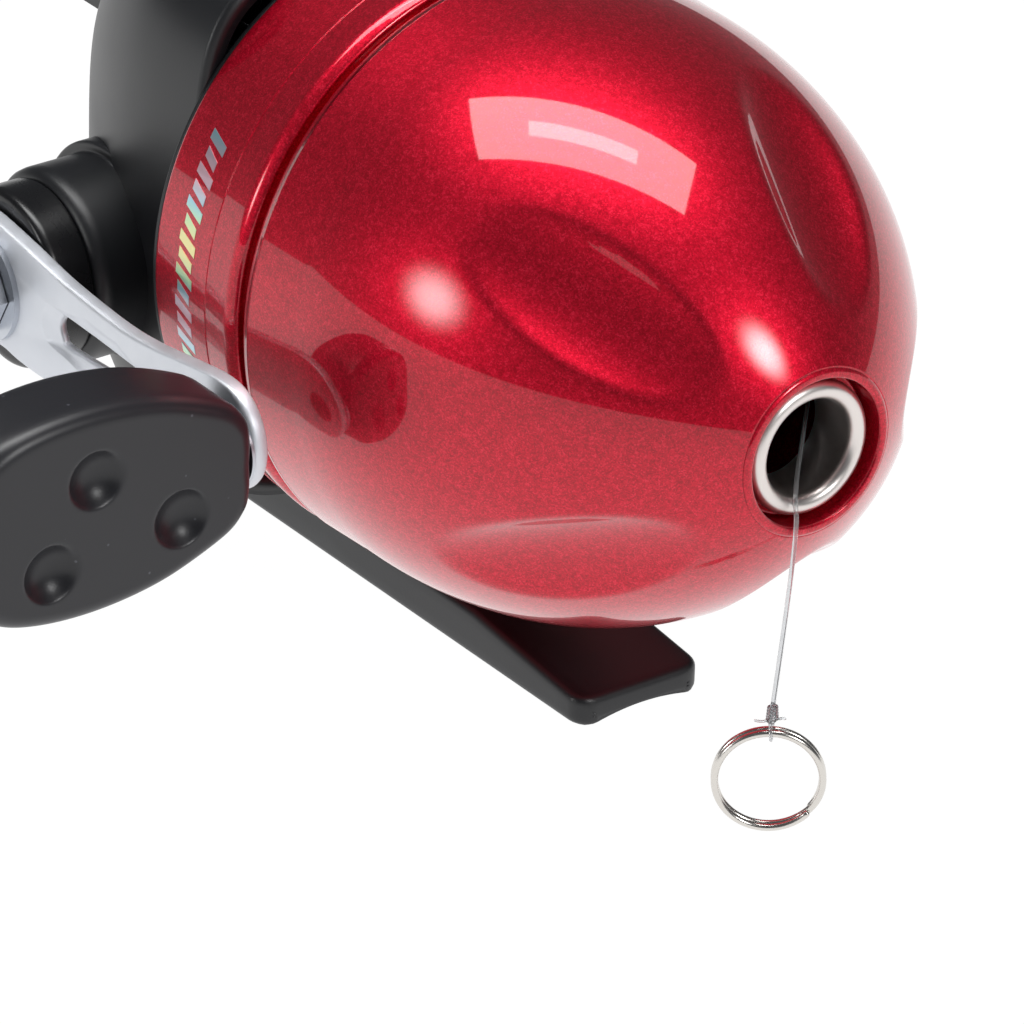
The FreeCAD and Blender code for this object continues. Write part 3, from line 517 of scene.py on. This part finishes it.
def turned(outline, count, centre=(joint_x, 0, axis_z), axis=(1, 0, 0), side=(0, 1, 0)):
    """A turned form: outline points (along, out) carried once round the axis, out times (cosine, sine)."""
    axis, side = np.array(axis, float), np.array(side, float)
    angle = np.linspace(0, 2 * np.pi, count, endpoint=False)[None, :, None]
    spoke = np.cos(angle) * side + np.sin(angle) * np.cross(axis, side)
    return np.array(centre) + outline[:, 0, None, None] * axis + outline[:, 1, None, None] * spoke


# The housing's front flange closes the gap to the round ring; its rim is the thin pale line behind the
# paint.
flange_outline = eased([(-15.6, 21.5), (-15.6, 29.95), (-15.05, 29.95), (-15.05, 21.5)], 0.15)
flange = place_piece(closed_mesh("housing_flange", turned(flange_outline, 256), nylon, loops=True), "frame")

# The crank boss is moulded with the housing: a plain barrel on a low round shoulder.
crank_centre = (-34.0 + joint_x, 0, -7.3 + axis_z)
boss_outline = eased([(-30.4, 6.3), (-30.4, 10.0), (-23.2, 10.0), (-23.2, 11.1), (-19.5, 11.1), (-19.5, 6.3)],
                     [0.3, 1.5, 0.25, 0.8, 0.3, 0.3])
boss_grid = turned(boss_outline, 160, crank_centre, (0, 1, 0), (0, 0, 1))
boss = place_piece(closed_mesh("crank_boss", boss_grid, nylon, loops=True), "frame")

# ---- Deck and winding train ----------------------------------------------------------------------
# Inside the shell: a die-cast zinc deck, brass bushings and pinion, a spun aluminium cup with a steel
# pin, and the steel shafts, clips and springs that carry them.
cast_zinc, cast_output, cast_place = placed_material("die_cast_zinc")
cast_skin = add_noise(cast_zinc, cast_place, 420.0, 6.0, 0.62)
cast_fine = add_noise(cast_zinc, cast_place, 3000.0, 2.0)
cast_rough = add_range(cast_zinc, cast_skin.outputs["Fac"], 0.42, 0.56, 0.3, 0.7)
cast_bump = add_node(cast_zinc, "ShaderNodeBump", inputs={
    "Height": cast_fine.outputs["Fac"], "Strength": 0.12, "Distance": 0.00005})
cast_shader = add_node(cast_zinc, "ShaderNodeBsdfPrincipled", inputs={
    "Base Color": linear("#dfe2e8"), "Metallic": 0.72, "Roughness": cast_rough.outputs["Result"],
    "Normal": cast_bump.outputs["Normal"]})
finish_with(cast_zinc, cast_output, cast_shader)
for node in ("deck_plate", "drive_gear"):
    refinish(node, cast_zinc)

# Turned brass: warm yellow, with fine tool marks in bands along the spool's axis.
brass, brass_output, brass_place = placed_material("turned_brass")
brass_rings = add_node(brass, "ShaderNodeTexWave", {"wave_type": "BANDS", "bands_direction": "X"}, {
    "Vector": brass_place.outputs["Object"], "Scale": 900.0, "Distortion": 1.5, "Detail": 2.0})
brass_rough = add_range(brass, brass_rings.outputs["Fac"], 0.2, 0.36)
brass_shader = add_node(brass, "ShaderNodeBsdfPrincipled", inputs={
    "Base Color": linear("#cfae62"), "Metallic": 1.0, "Roughness": brass_rough.outputs["Result"]})
finish_with(brass, brass_output, brass_shader)
for node in ("pinion_bushing", "pinion_gear", "crank_bushing"):
    refinish(node, brass)

# Ground steel shafts and clips: grey-white, with a fine grinding texture.
ground_steel = worn_material("ground_steel", "#b9bbbe", 2400.0, 2.0, 0.18, 0.34, Metallic=1.0)
for node in ("centre_shaft", "crank_shaft", "one_way_bearing", "dial_axle", "pickup_pin", "shaft_clip",
             "spool_clip", "crank_clip", "guide_retainer"):
    refinish(node, ground_steel)
for node in ("deck_screws", "cup_nut", "handle_washer", "knob_washer"):
    refinish(node, zinc_plate)

# Return spring: music wire wound seven times round the centre shaft, between the bushing and the shaft's
# clip.  The button squeezes it, and it throws the shaft and the button back.
spring_pitch, spring_long, spring_r, spring_wire = 1.9, 13.3, 2.25, 0.25
spring_front, button_travel = -27.6 + joint_x, 5.0
spring_turn = np.linspace(0, 2 * np.pi * spring_long / spring_pitch, 340)
spring_path = np.column_stack([spring_front - spring_long + spring_pitch * spring_turn / (2 * np.pi),
                               spring_r * np.cos(spring_turn), axis_z + spring_r * np.sin(spring_turn)])
spring_skin = round_wire(spring_path, spring_wire, (1, 0, 0), 10)
spring = place_piece(closed_mesh("return_spring_coil", spring_skin, ground_steel), "frame")
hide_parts("return_spring")
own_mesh(spring)

# Spun aluminium cup, soft white metal with spinning rings about the shaft.
spun, spun_output, spun_place = placed_material("spun_aluminium")
spun_centre = add_node(spun, "ShaderNodeMapping", inputs={
    "Vector": spun_place.outputs["Object"], "Location": (0, 0, -axis_z / 1000)})
spun_rings = add_node(spun, "ShaderNodeTexWave", {"wave_type": "RINGS", "rings_direction": "X"}, {
    "Vector": spun_centre.outputs["Vector"], "Scale": 700.0, "Distortion": 0.6, "Detail": 2.0})
spun_rough = add_range(spun, spun_rings.outputs["Fac"], 0.26, 0.4)
spun_shader = add_node(spun, "ShaderNodeBsdfPrincipled", inputs={
    "Base Color": linear("#d2d4d6"), "Metallic": 1.0, "Roughness": spun_rough.outputs["Result"]})
finish_with(spun, spun_output, spun_shader)
for node in ("winding_cup", "pickup_guide"):
    refinish(node, spun)

# Nitrile snubber ring and felt drag washer.
rubber, rubber_output, rubber_place = placed_material("nitrile_rubber")
rubber_bloom = add_noise(rubber, rubber_place, 500.0, 4.0)
rubber_colour = add_ramp(rubber, rubber_bloom.outputs["Fac"], (0.0, "#101011"), (1.0, "#1d1d1f"))
rubber_shader = add_node(rubber, "ShaderNodeBsdfPrincipled", inputs={
    "Base Color": rubber_colour.outputs["Color"], "Roughness": 0.7})
refinish("snubber_ring", finish_with(rubber, rubber_output, rubber_shader))

felt, felt_output, felt_place = placed_material("oiled_wool_felt")
felt_fibres = add_noise(felt, felt_place, 2600.0, 6.0, 0.8)
felt_colour = add_ramp(felt, felt_fibres.outputs["Fac"], (0.0, "#6b665b"), (1.0, "#a39c8d"))
felt_shader = add_node(felt, "ShaderNodeBsdfPrincipled", inputs={
    "Base Color": felt_colour.outputs["Color"], "Roughness": 0.95, "Sheen Weight": 0.4})
refinish("drag_washer", finish_with(felt, felt_output, felt_shader))

# ---- Spool ---------------------------------------------------------------------------------------
# White acetal spool, and the line wound on it, whose close turns are drawn as a banded bump.
acetal, acetal_output, acetal_place = placed_material("white_acetal")
acetal_flow = add_noise(acetal, acetal_place, 150.0, 3.0)
acetal_colour = add_ramp(acetal, acetal_flow.outputs["Fac"], (0.0, "#d9dad6"), (1.0, "#eceded"))
acetal_shader = add_node(acetal, "ShaderNodeBsdfPrincipled", inputs={
    "Base Color": acetal_colour.outputs["Color"], "Roughness": 0.38, "IOR": 1.48})
refinish("spool", finish_with(acetal, acetal_output, acetal_shader))

wound, wound_output, wound_place = placed_material("wound_nylon_line")
wound_turns = add_node(wound, "ShaderNodeTexWave", {"wave_type": "BANDS", "bands_direction": "X"}, {
    "Vector": wound_place.outputs["Object"], "Scale": 1000 / (2 * line_r) / 2, "Distortion": 0.8,
    "Detail": 1.0})
wound_bump = add_node(wound, "ShaderNodeBump", inputs={
    "Height": wound_turns.outputs["Fac"], "Strength": 0.8, "Distance": 0.0002})
wound_shader = add_node(wound, "ShaderNodeBsdfPrincipled", inputs={
    "Base Color": linear("#c7ccd0"), "Roughness": 0.25, "IOR": 1.53, "Transmission Weight": 0.3,
    "Normal": wound_bump.outputs["Normal"]})
refinish("spool_line", finish_with(wound, wound_output, wound_shader))

# ---- Body ring -----------------------------------------------------------------------------------
# Turned ring in the same candy paint as the cover, beaded at the joint.  A clear decal film wraps its
# rear two thirds, and the film's edge shows as a fine step; foil dashes are printed on it.
film_back, film_front, film_back_r, film_front_r = -15.0, -5.7, 30.15, 30.66
ring_outline = eased([(film_back, 29.1), (film_back, film_back_r), (film_front, film_front_r), (-5.62, 30.6),
                      (-1.5, 31.0), (-0.5, 30.45), (-0.5, 29.1)], [0.2, 0.42, 0.03, 0.03, 0.7, 0.35, 0.2], 7)

# Candy paint: a clear gloss coat over translucent red lacquer over aluminium flake.  Straight on it is
# deep red with a sparkle; the real flake is about 0.05 mm, drawn here at 0.14 mm so that it shows.
flake_wide = 0.14
candy, candy_output, candy_place = placed_material("candy_red_lacquer")
candy_flake = add_node(candy, "ShaderNodeTexVoronoi", {"feature": "F1"}, {
    "Vector": candy_place.outputs["Object"], "Scale": 1000 / flake_wide})
candy_spread = add_node(candy, "ShaderNodeSeparateColor", inputs={"Color": candy_flake.outputs["Color"]})
candy_clouds = add_noise(candy, candy_place, 1400.0, 2.0)
candy_sparkle = add_node(candy, "ShaderNodeMath", {"operation": "ADD"}, {
    0: candy_spread.outputs[0], 1: candy_clouds.outputs["Fac"]})
candy_level = add_range(candy, candy_sparkle.outputs[0], 0.0, 1.0, 0.3, 1.65)
candy_colour = add_ramp(candy, candy_level.outputs["Result"],
                        (0.1, "#a3031d"), (0.72, "#cf0a2c"), (0.98, "#e0203f"))
candy_tilt = add_node(candy, "ShaderNodeBump", inputs={
    "Height": candy_spread.outputs[0], "Strength": 0.07, "Distance": 0.00005})
candy_shader = add_node(candy, "ShaderNodeBsdfPrincipled", inputs={
    "Base Color": candy_colour.outputs["Color"], "Metallic": 0.8, "Roughness": 0.42,
    "Specular IOR Level": 0.2, "Normal": candy_tilt.outputs["Normal"],
    "Coat Weight": 1.0, "Coat Roughness": 0.04, "Coat IOR": 1.47})
finish_with(candy, candy_output, candy_shader)
ring = place_piece(closed_mesh("body_ring_painted", turned(ring_outline, 360), candy, loops=True), "frame")
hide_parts("body_ring")

# Hot-stamped foil dashes, 0.04 mm proud: each a slanted slab of eight corners that follows the ring.
mark_count = 17
mark_middle = np.radians(np.linspace(150.5, 202.5, mark_count))
mark_long = np.resize([2.9, 2.1, 2.9, 2.4], mark_count)
mark_wide, mark_slant, mark_x = 1.05 / 30.5, 0.5 / 30.5, -9.6
corner_x = np.array([-1, 1, 1, -1]) * 0.5
corner_a = np.array([-1, -1, 1, 1]) * 0.5
mark_xs = mark_x + corner_x * mark_long[:, None]
mark_angles = mark_middle[:, None] + corner_a * mark_wide + corner_x * 2 * mark_slant
mark_r = film_back_r + (mark_xs - film_back) * (film_front_r - film_back_r) / (film_front - film_back)
mark_points = np.stack([
    np.stack([joint_x + mark_xs, r * np.cos(mark_angles), axis_z + r * np.sin(mark_angles)], -1)
    for r in (mark_r - 0.05, mark_r + 0.04)], 1).reshape(-1, 3)
slab = np.array([(0, 1, 2, 3), (7, 6, 5, 4), (0, 4, 5, 1), (1, 5, 6, 2), (2, 6, 7, 3), (3, 7, 4, 0)])
mark_faces = (np.arange(mark_count)[:, None, None] * 8 + slab).reshape(-1, 4)
marks_mesh = bpy.data.meshes.new("foil_dashes")
marks_mesh.from_pydata((mark_points / 1000).tolist(), [], mark_faces.tolist())
turned_out = bmesh.new()
turned_out.from_mesh(marks_mesh)
bmesh.ops.recalc_face_normals(turned_out, faces=turned_out.faces)
turned_out.to_mesh(marks_mesh)
turned_out.free()

# Holographic foil: mirror-bright, its pale colours running in bands up the ring.
foil, foil_output, foil_place = placed_material("holographic_foil")
foil_bands = add_node(foil, "ShaderNodeTexWave", {"wave_type": "BANDS", "bands_direction": "Z"}, {
    "Vector": foil_place.outputs["Object"], "Scale": 22.0, "Distortion": 2.0, "Detail": 1.0})
foil_colour = add_ramp(foil, foil_bands.outputs["Fac"],
                       (0.0, "#f1e6a0"), (0.35, "#bfe8b8"), (0.65, "#a9dcea"), (1.0, "#f3c9d6"))
foil_shader = add_node(foil, "ShaderNodeBsdfPrincipled", inputs={
    "Base Color": foil_colour.outputs["Color"], "Metallic": 0.85, "Roughness": 0.3, "Coat Weight": 1.0})
marks_mesh.materials.append(finish_with(foil, foil_output, foil_shader))
marks = place_piece(marks_mesh, "frame")

# ---- Front cover ---------------------------------------------------------------------------------
# Drawn aluminium nose shell, candy painted: a beaded skirt, five shallow hollows to grip it by, and a
# counterbored end that holds the line guide.
cover_wall, cover_end, recess_r, recess_x = 1.6, 49.8, 7.5, 46.8
cover_r, cover_skirt, cover_nose, cover_power, cover_blunt = 30.8, 9.0, 43.5, 2.11, 0.644
hollow_count, hollow_first, hollow_r = 5, 139.5, 13.0
hollow_back, hollow_front = np.array([24.5, 28.6]), np.array([46.3, 13.3])


def cover_radius(x):
    """Radius of the plain shell: a straight skirt, then a rounded nose that would close to a point."""
    return cover_r * (1 - np.clip((x - cover_skirt) / cover_nose, 0, 1) ** cover_power) ** cover_blunt


def with_hollows(x, r, angle):
    """The shell's radius less its hollows.  Each hollow is a roller lying along a chord; where it meets a
    spoke of the axis is a quadratic in the radius.  Shell and rollers join by a smooth minimum."""
    chord = (hollow_front - hollow_back) / np.linalg.norm(hollow_front - hollow_back)
    out_x, out_r = -chord[1], chord[0]
    result = np.repeat(r[:, None], len(angle), 1)
    for place in np.radians(hollow_first + 360 / hollow_count * np.arange(hollow_count)):
        turn = (angle - place + np.pi) % (2 * np.pi) - np.pi
        c, s = np.cos(turn)[None, :], np.sin(turn)[None, :]
        a = (out_x * (x - hollow_back[0]) - out_r * hollow_back[1] - hollow_r)[:, None]
        square = out_r ** 2 * c ** 2 + s ** 2
        inside = (a * out_r * c) ** 2 - square * (a ** 2 - hollow_r ** 2)
        meets = (-a * out_r * c - np.sqrt(np.clip(inside, 0, None))) / square
        roller = np.where((inside > 0) & (c > 0), meets, 99.0)
        soft = 0.5
        share = np.clip(0.5 + 0.5 * (roller - result) / soft, 0, 1)
        result = roller * (1 - share) + result * share - soft * share * (1 - share)
    return result


def cover_grid():
    """Outer skin from bead to rim, then the recess, then the inner skin, one wall inside along the shell's
    own normal; rows run in even steps along the outline."""
    dense = np.linspace(1.6, cover_end - 0.12, 3000)
    run = np.concatenate([[0], np.cumsum(np.hypot(np.diff(dense), np.diff(cover_radius(dense))))])
    x = np.interp(np.linspace(0, run[-1], 150), run, dense)
    r = cover_radius(x) + 0.2 * np.clip((cover_skirt - x) / 7.6, 0, 1)
    slope_x, slope_r = np.gradient(x), np.gradient(r)
    normal_x, normal_r = -slope_r / np.hypot(slope_x, slope_r), slope_x / np.hypot(slope_x, slope_r)
    angle = np.linspace(0, 2 * np.pi, 360, endpoint=False)
    outer_r = with_hollows(x, r, angle)
    spread = np.ones(len(angle))[None, :]
    inner_x = np.minimum((x - cover_wall * normal_x), recess_x - 1.4)[:, None] * spread
    inner_r = np.maximum(outer_r - cover_wall * normal_r[:, None], 5.7)
    bead = eased([(-3.8, 28.85), (0.5, 28.9), (0.5, 30.45), (1.45, 31.0), (3.0, 30.98)],
                 [0.1, 0.1, 0.3, 0.7, 0.1], 6)[7:-8]
    rim, rim_x, bore_r, recess_back = r[-1], cover_end + 0.06, 5.66, recess_x - 1.4
    nose = eased([(cover_end - 0.5, rim + 0.4), (rim_x, rim - 0.1), (rim_x, recess_r), (recess_x, recess_r),
                  (recess_x, bore_r), (recess_back, bore_r)], [0.1, 0.35, 0.3, 0.35, 0.1, 0.1], 6)[8:-8]
    x_rows = [bead[:, :1] * spread, x[:, None] * spread, nose[:, :1] * spread, inner_x[::-6]]
    r_rows = [bead[:, 1:] * spread, outer_r, nose[:, 1:] * spread, inner_r[::-6]]
    x_all, r_all = np.concatenate(x_rows), np.concatenate(r_rows)
    return np.stack([joint_x + x_all, r_all * np.cos(angle), axis_z + r_all * np.sin(angle)], -1)


cover = place_piece(closed_mesh("nose_cover", cover_grid(), candy, loops=True), "cover")
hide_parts("front_cover")

# ---- Line guide ----------------------------------------------------------------------------------
# Polished stainless eyelet with a rolled lip, pressed into the nose, so that the line runs over a smooth
# curve.
lip = np.radians(np.linspace(-10, 190, 26))
guide_outline = np.vstack([np.column_stack([48.05 + 1.1 * np.sin(lip), 5.85 + 0.97 * np.cos(lip)]),
                           [(47.2, 4.88), (45.5, 4.9), (43.2, 4.92), (43.0, 5.1), (43.0, 5.5), (43.2, 5.6),
                            (46.6, 5.6), (46.8, 5.75), (46.85, 6.5), (47.1, 6.78)]])
stainless = worn_material("polished_stainless", "#e6dfdb", 350.0, 4.0, 0.28, 0.42, Metallic=1.0)
guide = place_piece(closed_mesh("guide_eyelet", turned(guide_outline, 160), stainless, loops=True), "cover")
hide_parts("line_guide")

# ---- Crank ---------------------------------------------------------------------------------------
# A black acetal sleeve, near-black with a clean soft gloss, is pressed into the boss; the die-cast zinc arm
# is clamped to the shaft by a nut and washer.  The arm is waisted, with a round tip for the knob and a long
# window in a bevelled pocket.
sleeve_black = worn_material("black_acetal", "#121214", 240.0, 4.0, 0.2, 0.36, IOR=1.48)
sleeve_outline = eased([(-34.9, 3.1), (-34.9, 9.2), (-30.45, 9.2), (-30.45, 6.0), (-27.6, 6.0), (-27.6, 3.1)],
                       [0.2, 0.9, 0.3, 0.2, 0.3, 0.2])
sleeve_grid = turned(sleeve_outline, 128, crank_centre, (0, 1, 0), (0, 0, 1))
sleeve = place_piece(closed_mesh("crank_sleeve_moulded", sleeve_grid, sleeve_black, loops=True), "frame")
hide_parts("crank_sleeve")

crank_length, crank_tilt, arm_out, arm_thick = 42.07, math.radians(0.68), 36.9, 1.7


def closed_through(knots, count):
    """A closed smooth line through knots: the Catmull-Rom line run round past its start, then one turn."""
    knots = np.asarray(knots, float)
    n, per_span = len(knots), 60
    held = through(np.vstack([knots[-2:], knots, knots[:3]]), (n + 4) * per_span + 1)
    loop = held[2 * per_span:(2 + n) * per_span]
    whole = np.vstack([loop, loop[:1]])
    run = np.concatenate([[0], np.cumsum(np.linalg.norm(np.diff(whole, axis=0), axis=1))])
    even = np.linspace(0, run[-1], count, endpoint=False)
    return np.column_stack([np.interp(even, run, whole[:, 0]), np.interp(even, run, whole[:, 1])])


def arm_point(u, v, y):
    """A point of the arm: u from the crank axis towards the knob, v across it, y the object's own."""
    c, s = math.cos(crank_tilt), math.sin(crank_tilt)
    return np.stack([crank_centre[0] + u * c - v * s, y + 0 * u, crank_centre[2] + u * s + v * c], -1)


def arm_grid():
    """Rings of points between the arm's edge and its window, matched by direction from a point in the
    window.  The rings step in by fixed distances at the edge and at the window, and their depth below the
    front face gives the rounded arrises and the bevelled pocket round the window."""
    lobe = np.radians([97, 62, 30, 0, -30, -62, -94])
    tip = np.column_stack([40.32 + 5.6 * np.cos(lobe), 0.39 + 5.6 * np.sin(lobe)])
    top_edge = [(-7.4, 0.8), (-6.8, 3.3), (-5.3, 5.5), (-3.1, 7.0), (-0.5, 7.5), (6, 6.6), (13, 5.4),
                (22, 4.6), (28, 4.7), (34, 5.4)]
    low_edge = [(30, -5.6), (20, -6.1), (10, -6.5), (5, -6.3), (2, -5.9), (-2.4, -6.1), (-6.0, -3.6)]
    edge = closed_through(np.vstack([top_edge, tip, low_edge]), 420)
    window = closed_through([(12.4, -1.0), (11.95, 0.3), (12.5, 1.25), (13.4, 1.6), (20, 1.25), (26, 0.9),
                             (26.8, 0.4), (27, -0.15), (26.8, -0.8), (26, -1.2), (20, -1.4), (13.6, -1.6)],
                            420)
    middle = np.array([19.5, 0.0])
    spoke, inside = edge - middle, window - middle
    far, facing = np.linalg.norm(spoke, axis=1), np.arctan2(spoke[:, 1], spoke[:, 0])
    window_facing = np.arctan2(inside[:, 1], inside[:, 0])
    order = np.argsort(window_facing)
    near = np.interp(facing, window_facing[order], np.linalg.norm(inside, axis=1)[order], period=2 * np.pi)
    slack = np.clip((far - near) / 5, 0.3, 1)
    edge_rings = [(far - step * slack, depth) for step, depth in
                  [(0, 0.85), (0, 0.5), (0.1, 0.22), (0.3, 0.07), (0.6, 0.0), (1.1, 0.0)]]
    window_rings = [(near + step * slack, depth) for step, depth in
                    [(2.5, 0.0), (2.3, 0.05), (2.0, 0.28), (1.1, 0.42), (0.5, 0.5), (0.15, 0.56), (0, 0.7),
                     (0, 0.9)]]
    front = edge_rings + window_rings
    back = [(reach, arm_thick - depth * 0.6) for reach, depth in front[-2:0:-1]]
    return np.stack([arm_point(middle[0] + np.cos(facing) * reach, middle[1] + np.sin(facing) * reach,
                               depth - arm_out) for reach, depth in front + back])


arm = place_piece(closed_mesh("crank_arm_cast", arm_grid(), cast_zinc, loops=True), "crank")
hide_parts("crank_arm")
refinish("handle_nut", zinc_plate)

# ---- Knob ----------------------------------------------------------------------------------------
# Soft-touch moulded paddle that spins on a headed post: thick, with flat faces, well rounded edges and
# three round hollows for the fingers.
knob_reach, knob_half_t, knob_start, knob_round = 32.6, 4.8, 37.3, 1.8
knob_hollows, bowl_r, bowl_rise, bowl_soft = [(8.4, -3.1), (17.9, 3.7), (22.9, -4.7)], 3.6, 2.0, 0.16


def knob_grid():
    """Each face is drawn between a spine on the middle line and the outline.  Its height is the half
    thickness less a quarter-round at the rim and spherical hollows whose rims are eased by a smooth
    maximum."""
    half = np.array([(0, 0), (0, 2.6), (0.6, 4.9), (3.2, 7.2), (10.6, 9.9), (19, 10.8), (26.6, 9.8),
                     (31.2, 6.9), (knob_reach, 3.0), (knob_reach, 0)])
    line_half = through(half, 2000)
    run = np.concatenate([[0], np.cumsum(np.linalg.norm(np.diff(line_half, axis=0), axis=1))])
    even = np.linspace(0, run[-1], 131)
    upper = np.column_stack([np.interp(even, run, line_half[:, 0]), np.interp(even, run, line_half[:, 1])])
    upper[[0, -1], 1] = 0
    rim = np.vstack([upper, (upper * [1, -1])[-2:0:-1]])
    spine = np.column_stack([np.clip(rim[:, 0], 9, 22.5), 0 * rim[:, 0]])
    step = np.linspace(0, 1, 64)
    share = 0.45 * step + 0.55 * np.sin(step * np.pi / 2)
    face = spine[None] + share[:, None, None] * (rim - spine)[None]
    inward = (1 - share)[:, None] * np.linalg.norm(rim - spine, axis=1)[None]
    rounding = knob_round * (1 - np.sqrt(np.clip(1 - np.clip(1 - inward / knob_round, 0, 1) ** 2, 0, 1)))
    height = knob_half_t - rounding
    for u, w in knob_hollows:
        apart = np.hypot(face[..., 0] - u, face[..., 1] - w)
        bowl = np.sqrt(np.clip(bowl_r ** 2 - apart ** 2, 0, None)) - bowl_rise
        sunk = 0.5 * (bowl + np.sqrt(bowl ** 2 + bowl_soft ** 2)) - 0.012
        height = height - np.where(bowl > -bowl_soft, sunk, 0)
    height[-1] = knob_half_t - knob_round
    u, w = face[..., 0], face[..., 1]
    edge_rows = 5
    lift = np.linspace(1, -1, edge_rows + 2)[1:-1, None] * height[-1][None]
    u_all = np.concatenate([u, np.repeat(u[-1:], edge_rows, 0), u[::-1]])
    w_all = np.concatenate([w, np.repeat(w[-1:], edge_rows, 0), w[::-1]])
    x_all = np.concatenate([height, lift, -height[::-1]])
    centre = arm_point(np.array(crank_length), np.array(0.0), 0.0)
    return np.stack([centre[0] + x_all, -knob_start - u_all, centre[2] + w_all], -1)


# Soft-touch black: almost matt, with a fine grain and pin-prick dust.
grip, grip_output, grip_place = placed_material("soft_touch_black")
grip_grain = add_noise(grip, grip_place, 5200.0, 3.0)
grip_dust = add_node(grip, "ShaderNodeTexVoronoi", {"feature": "F1"}, {
    "Vector": grip_place.outputs["Object"], "Scale": 330.0})
grip_speck = add_range(grip, grip_dust.outputs["Distance"], 1.0, 0.0, 0.03, 0.06)
grip_colour = add_node(grip, "ShaderNodeMix", {"data_type": "RGBA"}, {
    "Factor": grip_speck.outputs["Result"], "A": linear("#222226"), "B": linear("#505158")})
grip_bump = add_node(grip, "ShaderNodeBump", inputs={
    "Height": grip_grain.outputs["Fac"], "Strength": 0.2, "Distance": 0.00004})
grip_shader = add_node(grip, "ShaderNodeBsdfPrincipled", inputs={
    "Base Color": grip_colour.outputs["Result"], "Roughness": 0.36, "IOR": 1.5,
    "Normal": grip_bump.outputs["Normal"]})
finish_with(grip, grip_output, grip_shader)
knob = place_piece(closed_mesh("knob_grip", knob_grid(), grip), "knob")
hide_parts("knob_paddle")
refinish("knob_post", zinc_plate)

# ---- Thumb button and drag wheel -----------------------------------------------------------------
# Moulded in the same black ABS as the shell but polished by the thumb; the wheel's edge is milled.
thumb = worn_material("thumb_polished_abs", "#1b1c1e", 120.0, 5.0, 0.2, 0.45, IOR=1.53)
for node in ("thumb_button", "drag_dial"):
    refinish(node, thumb)
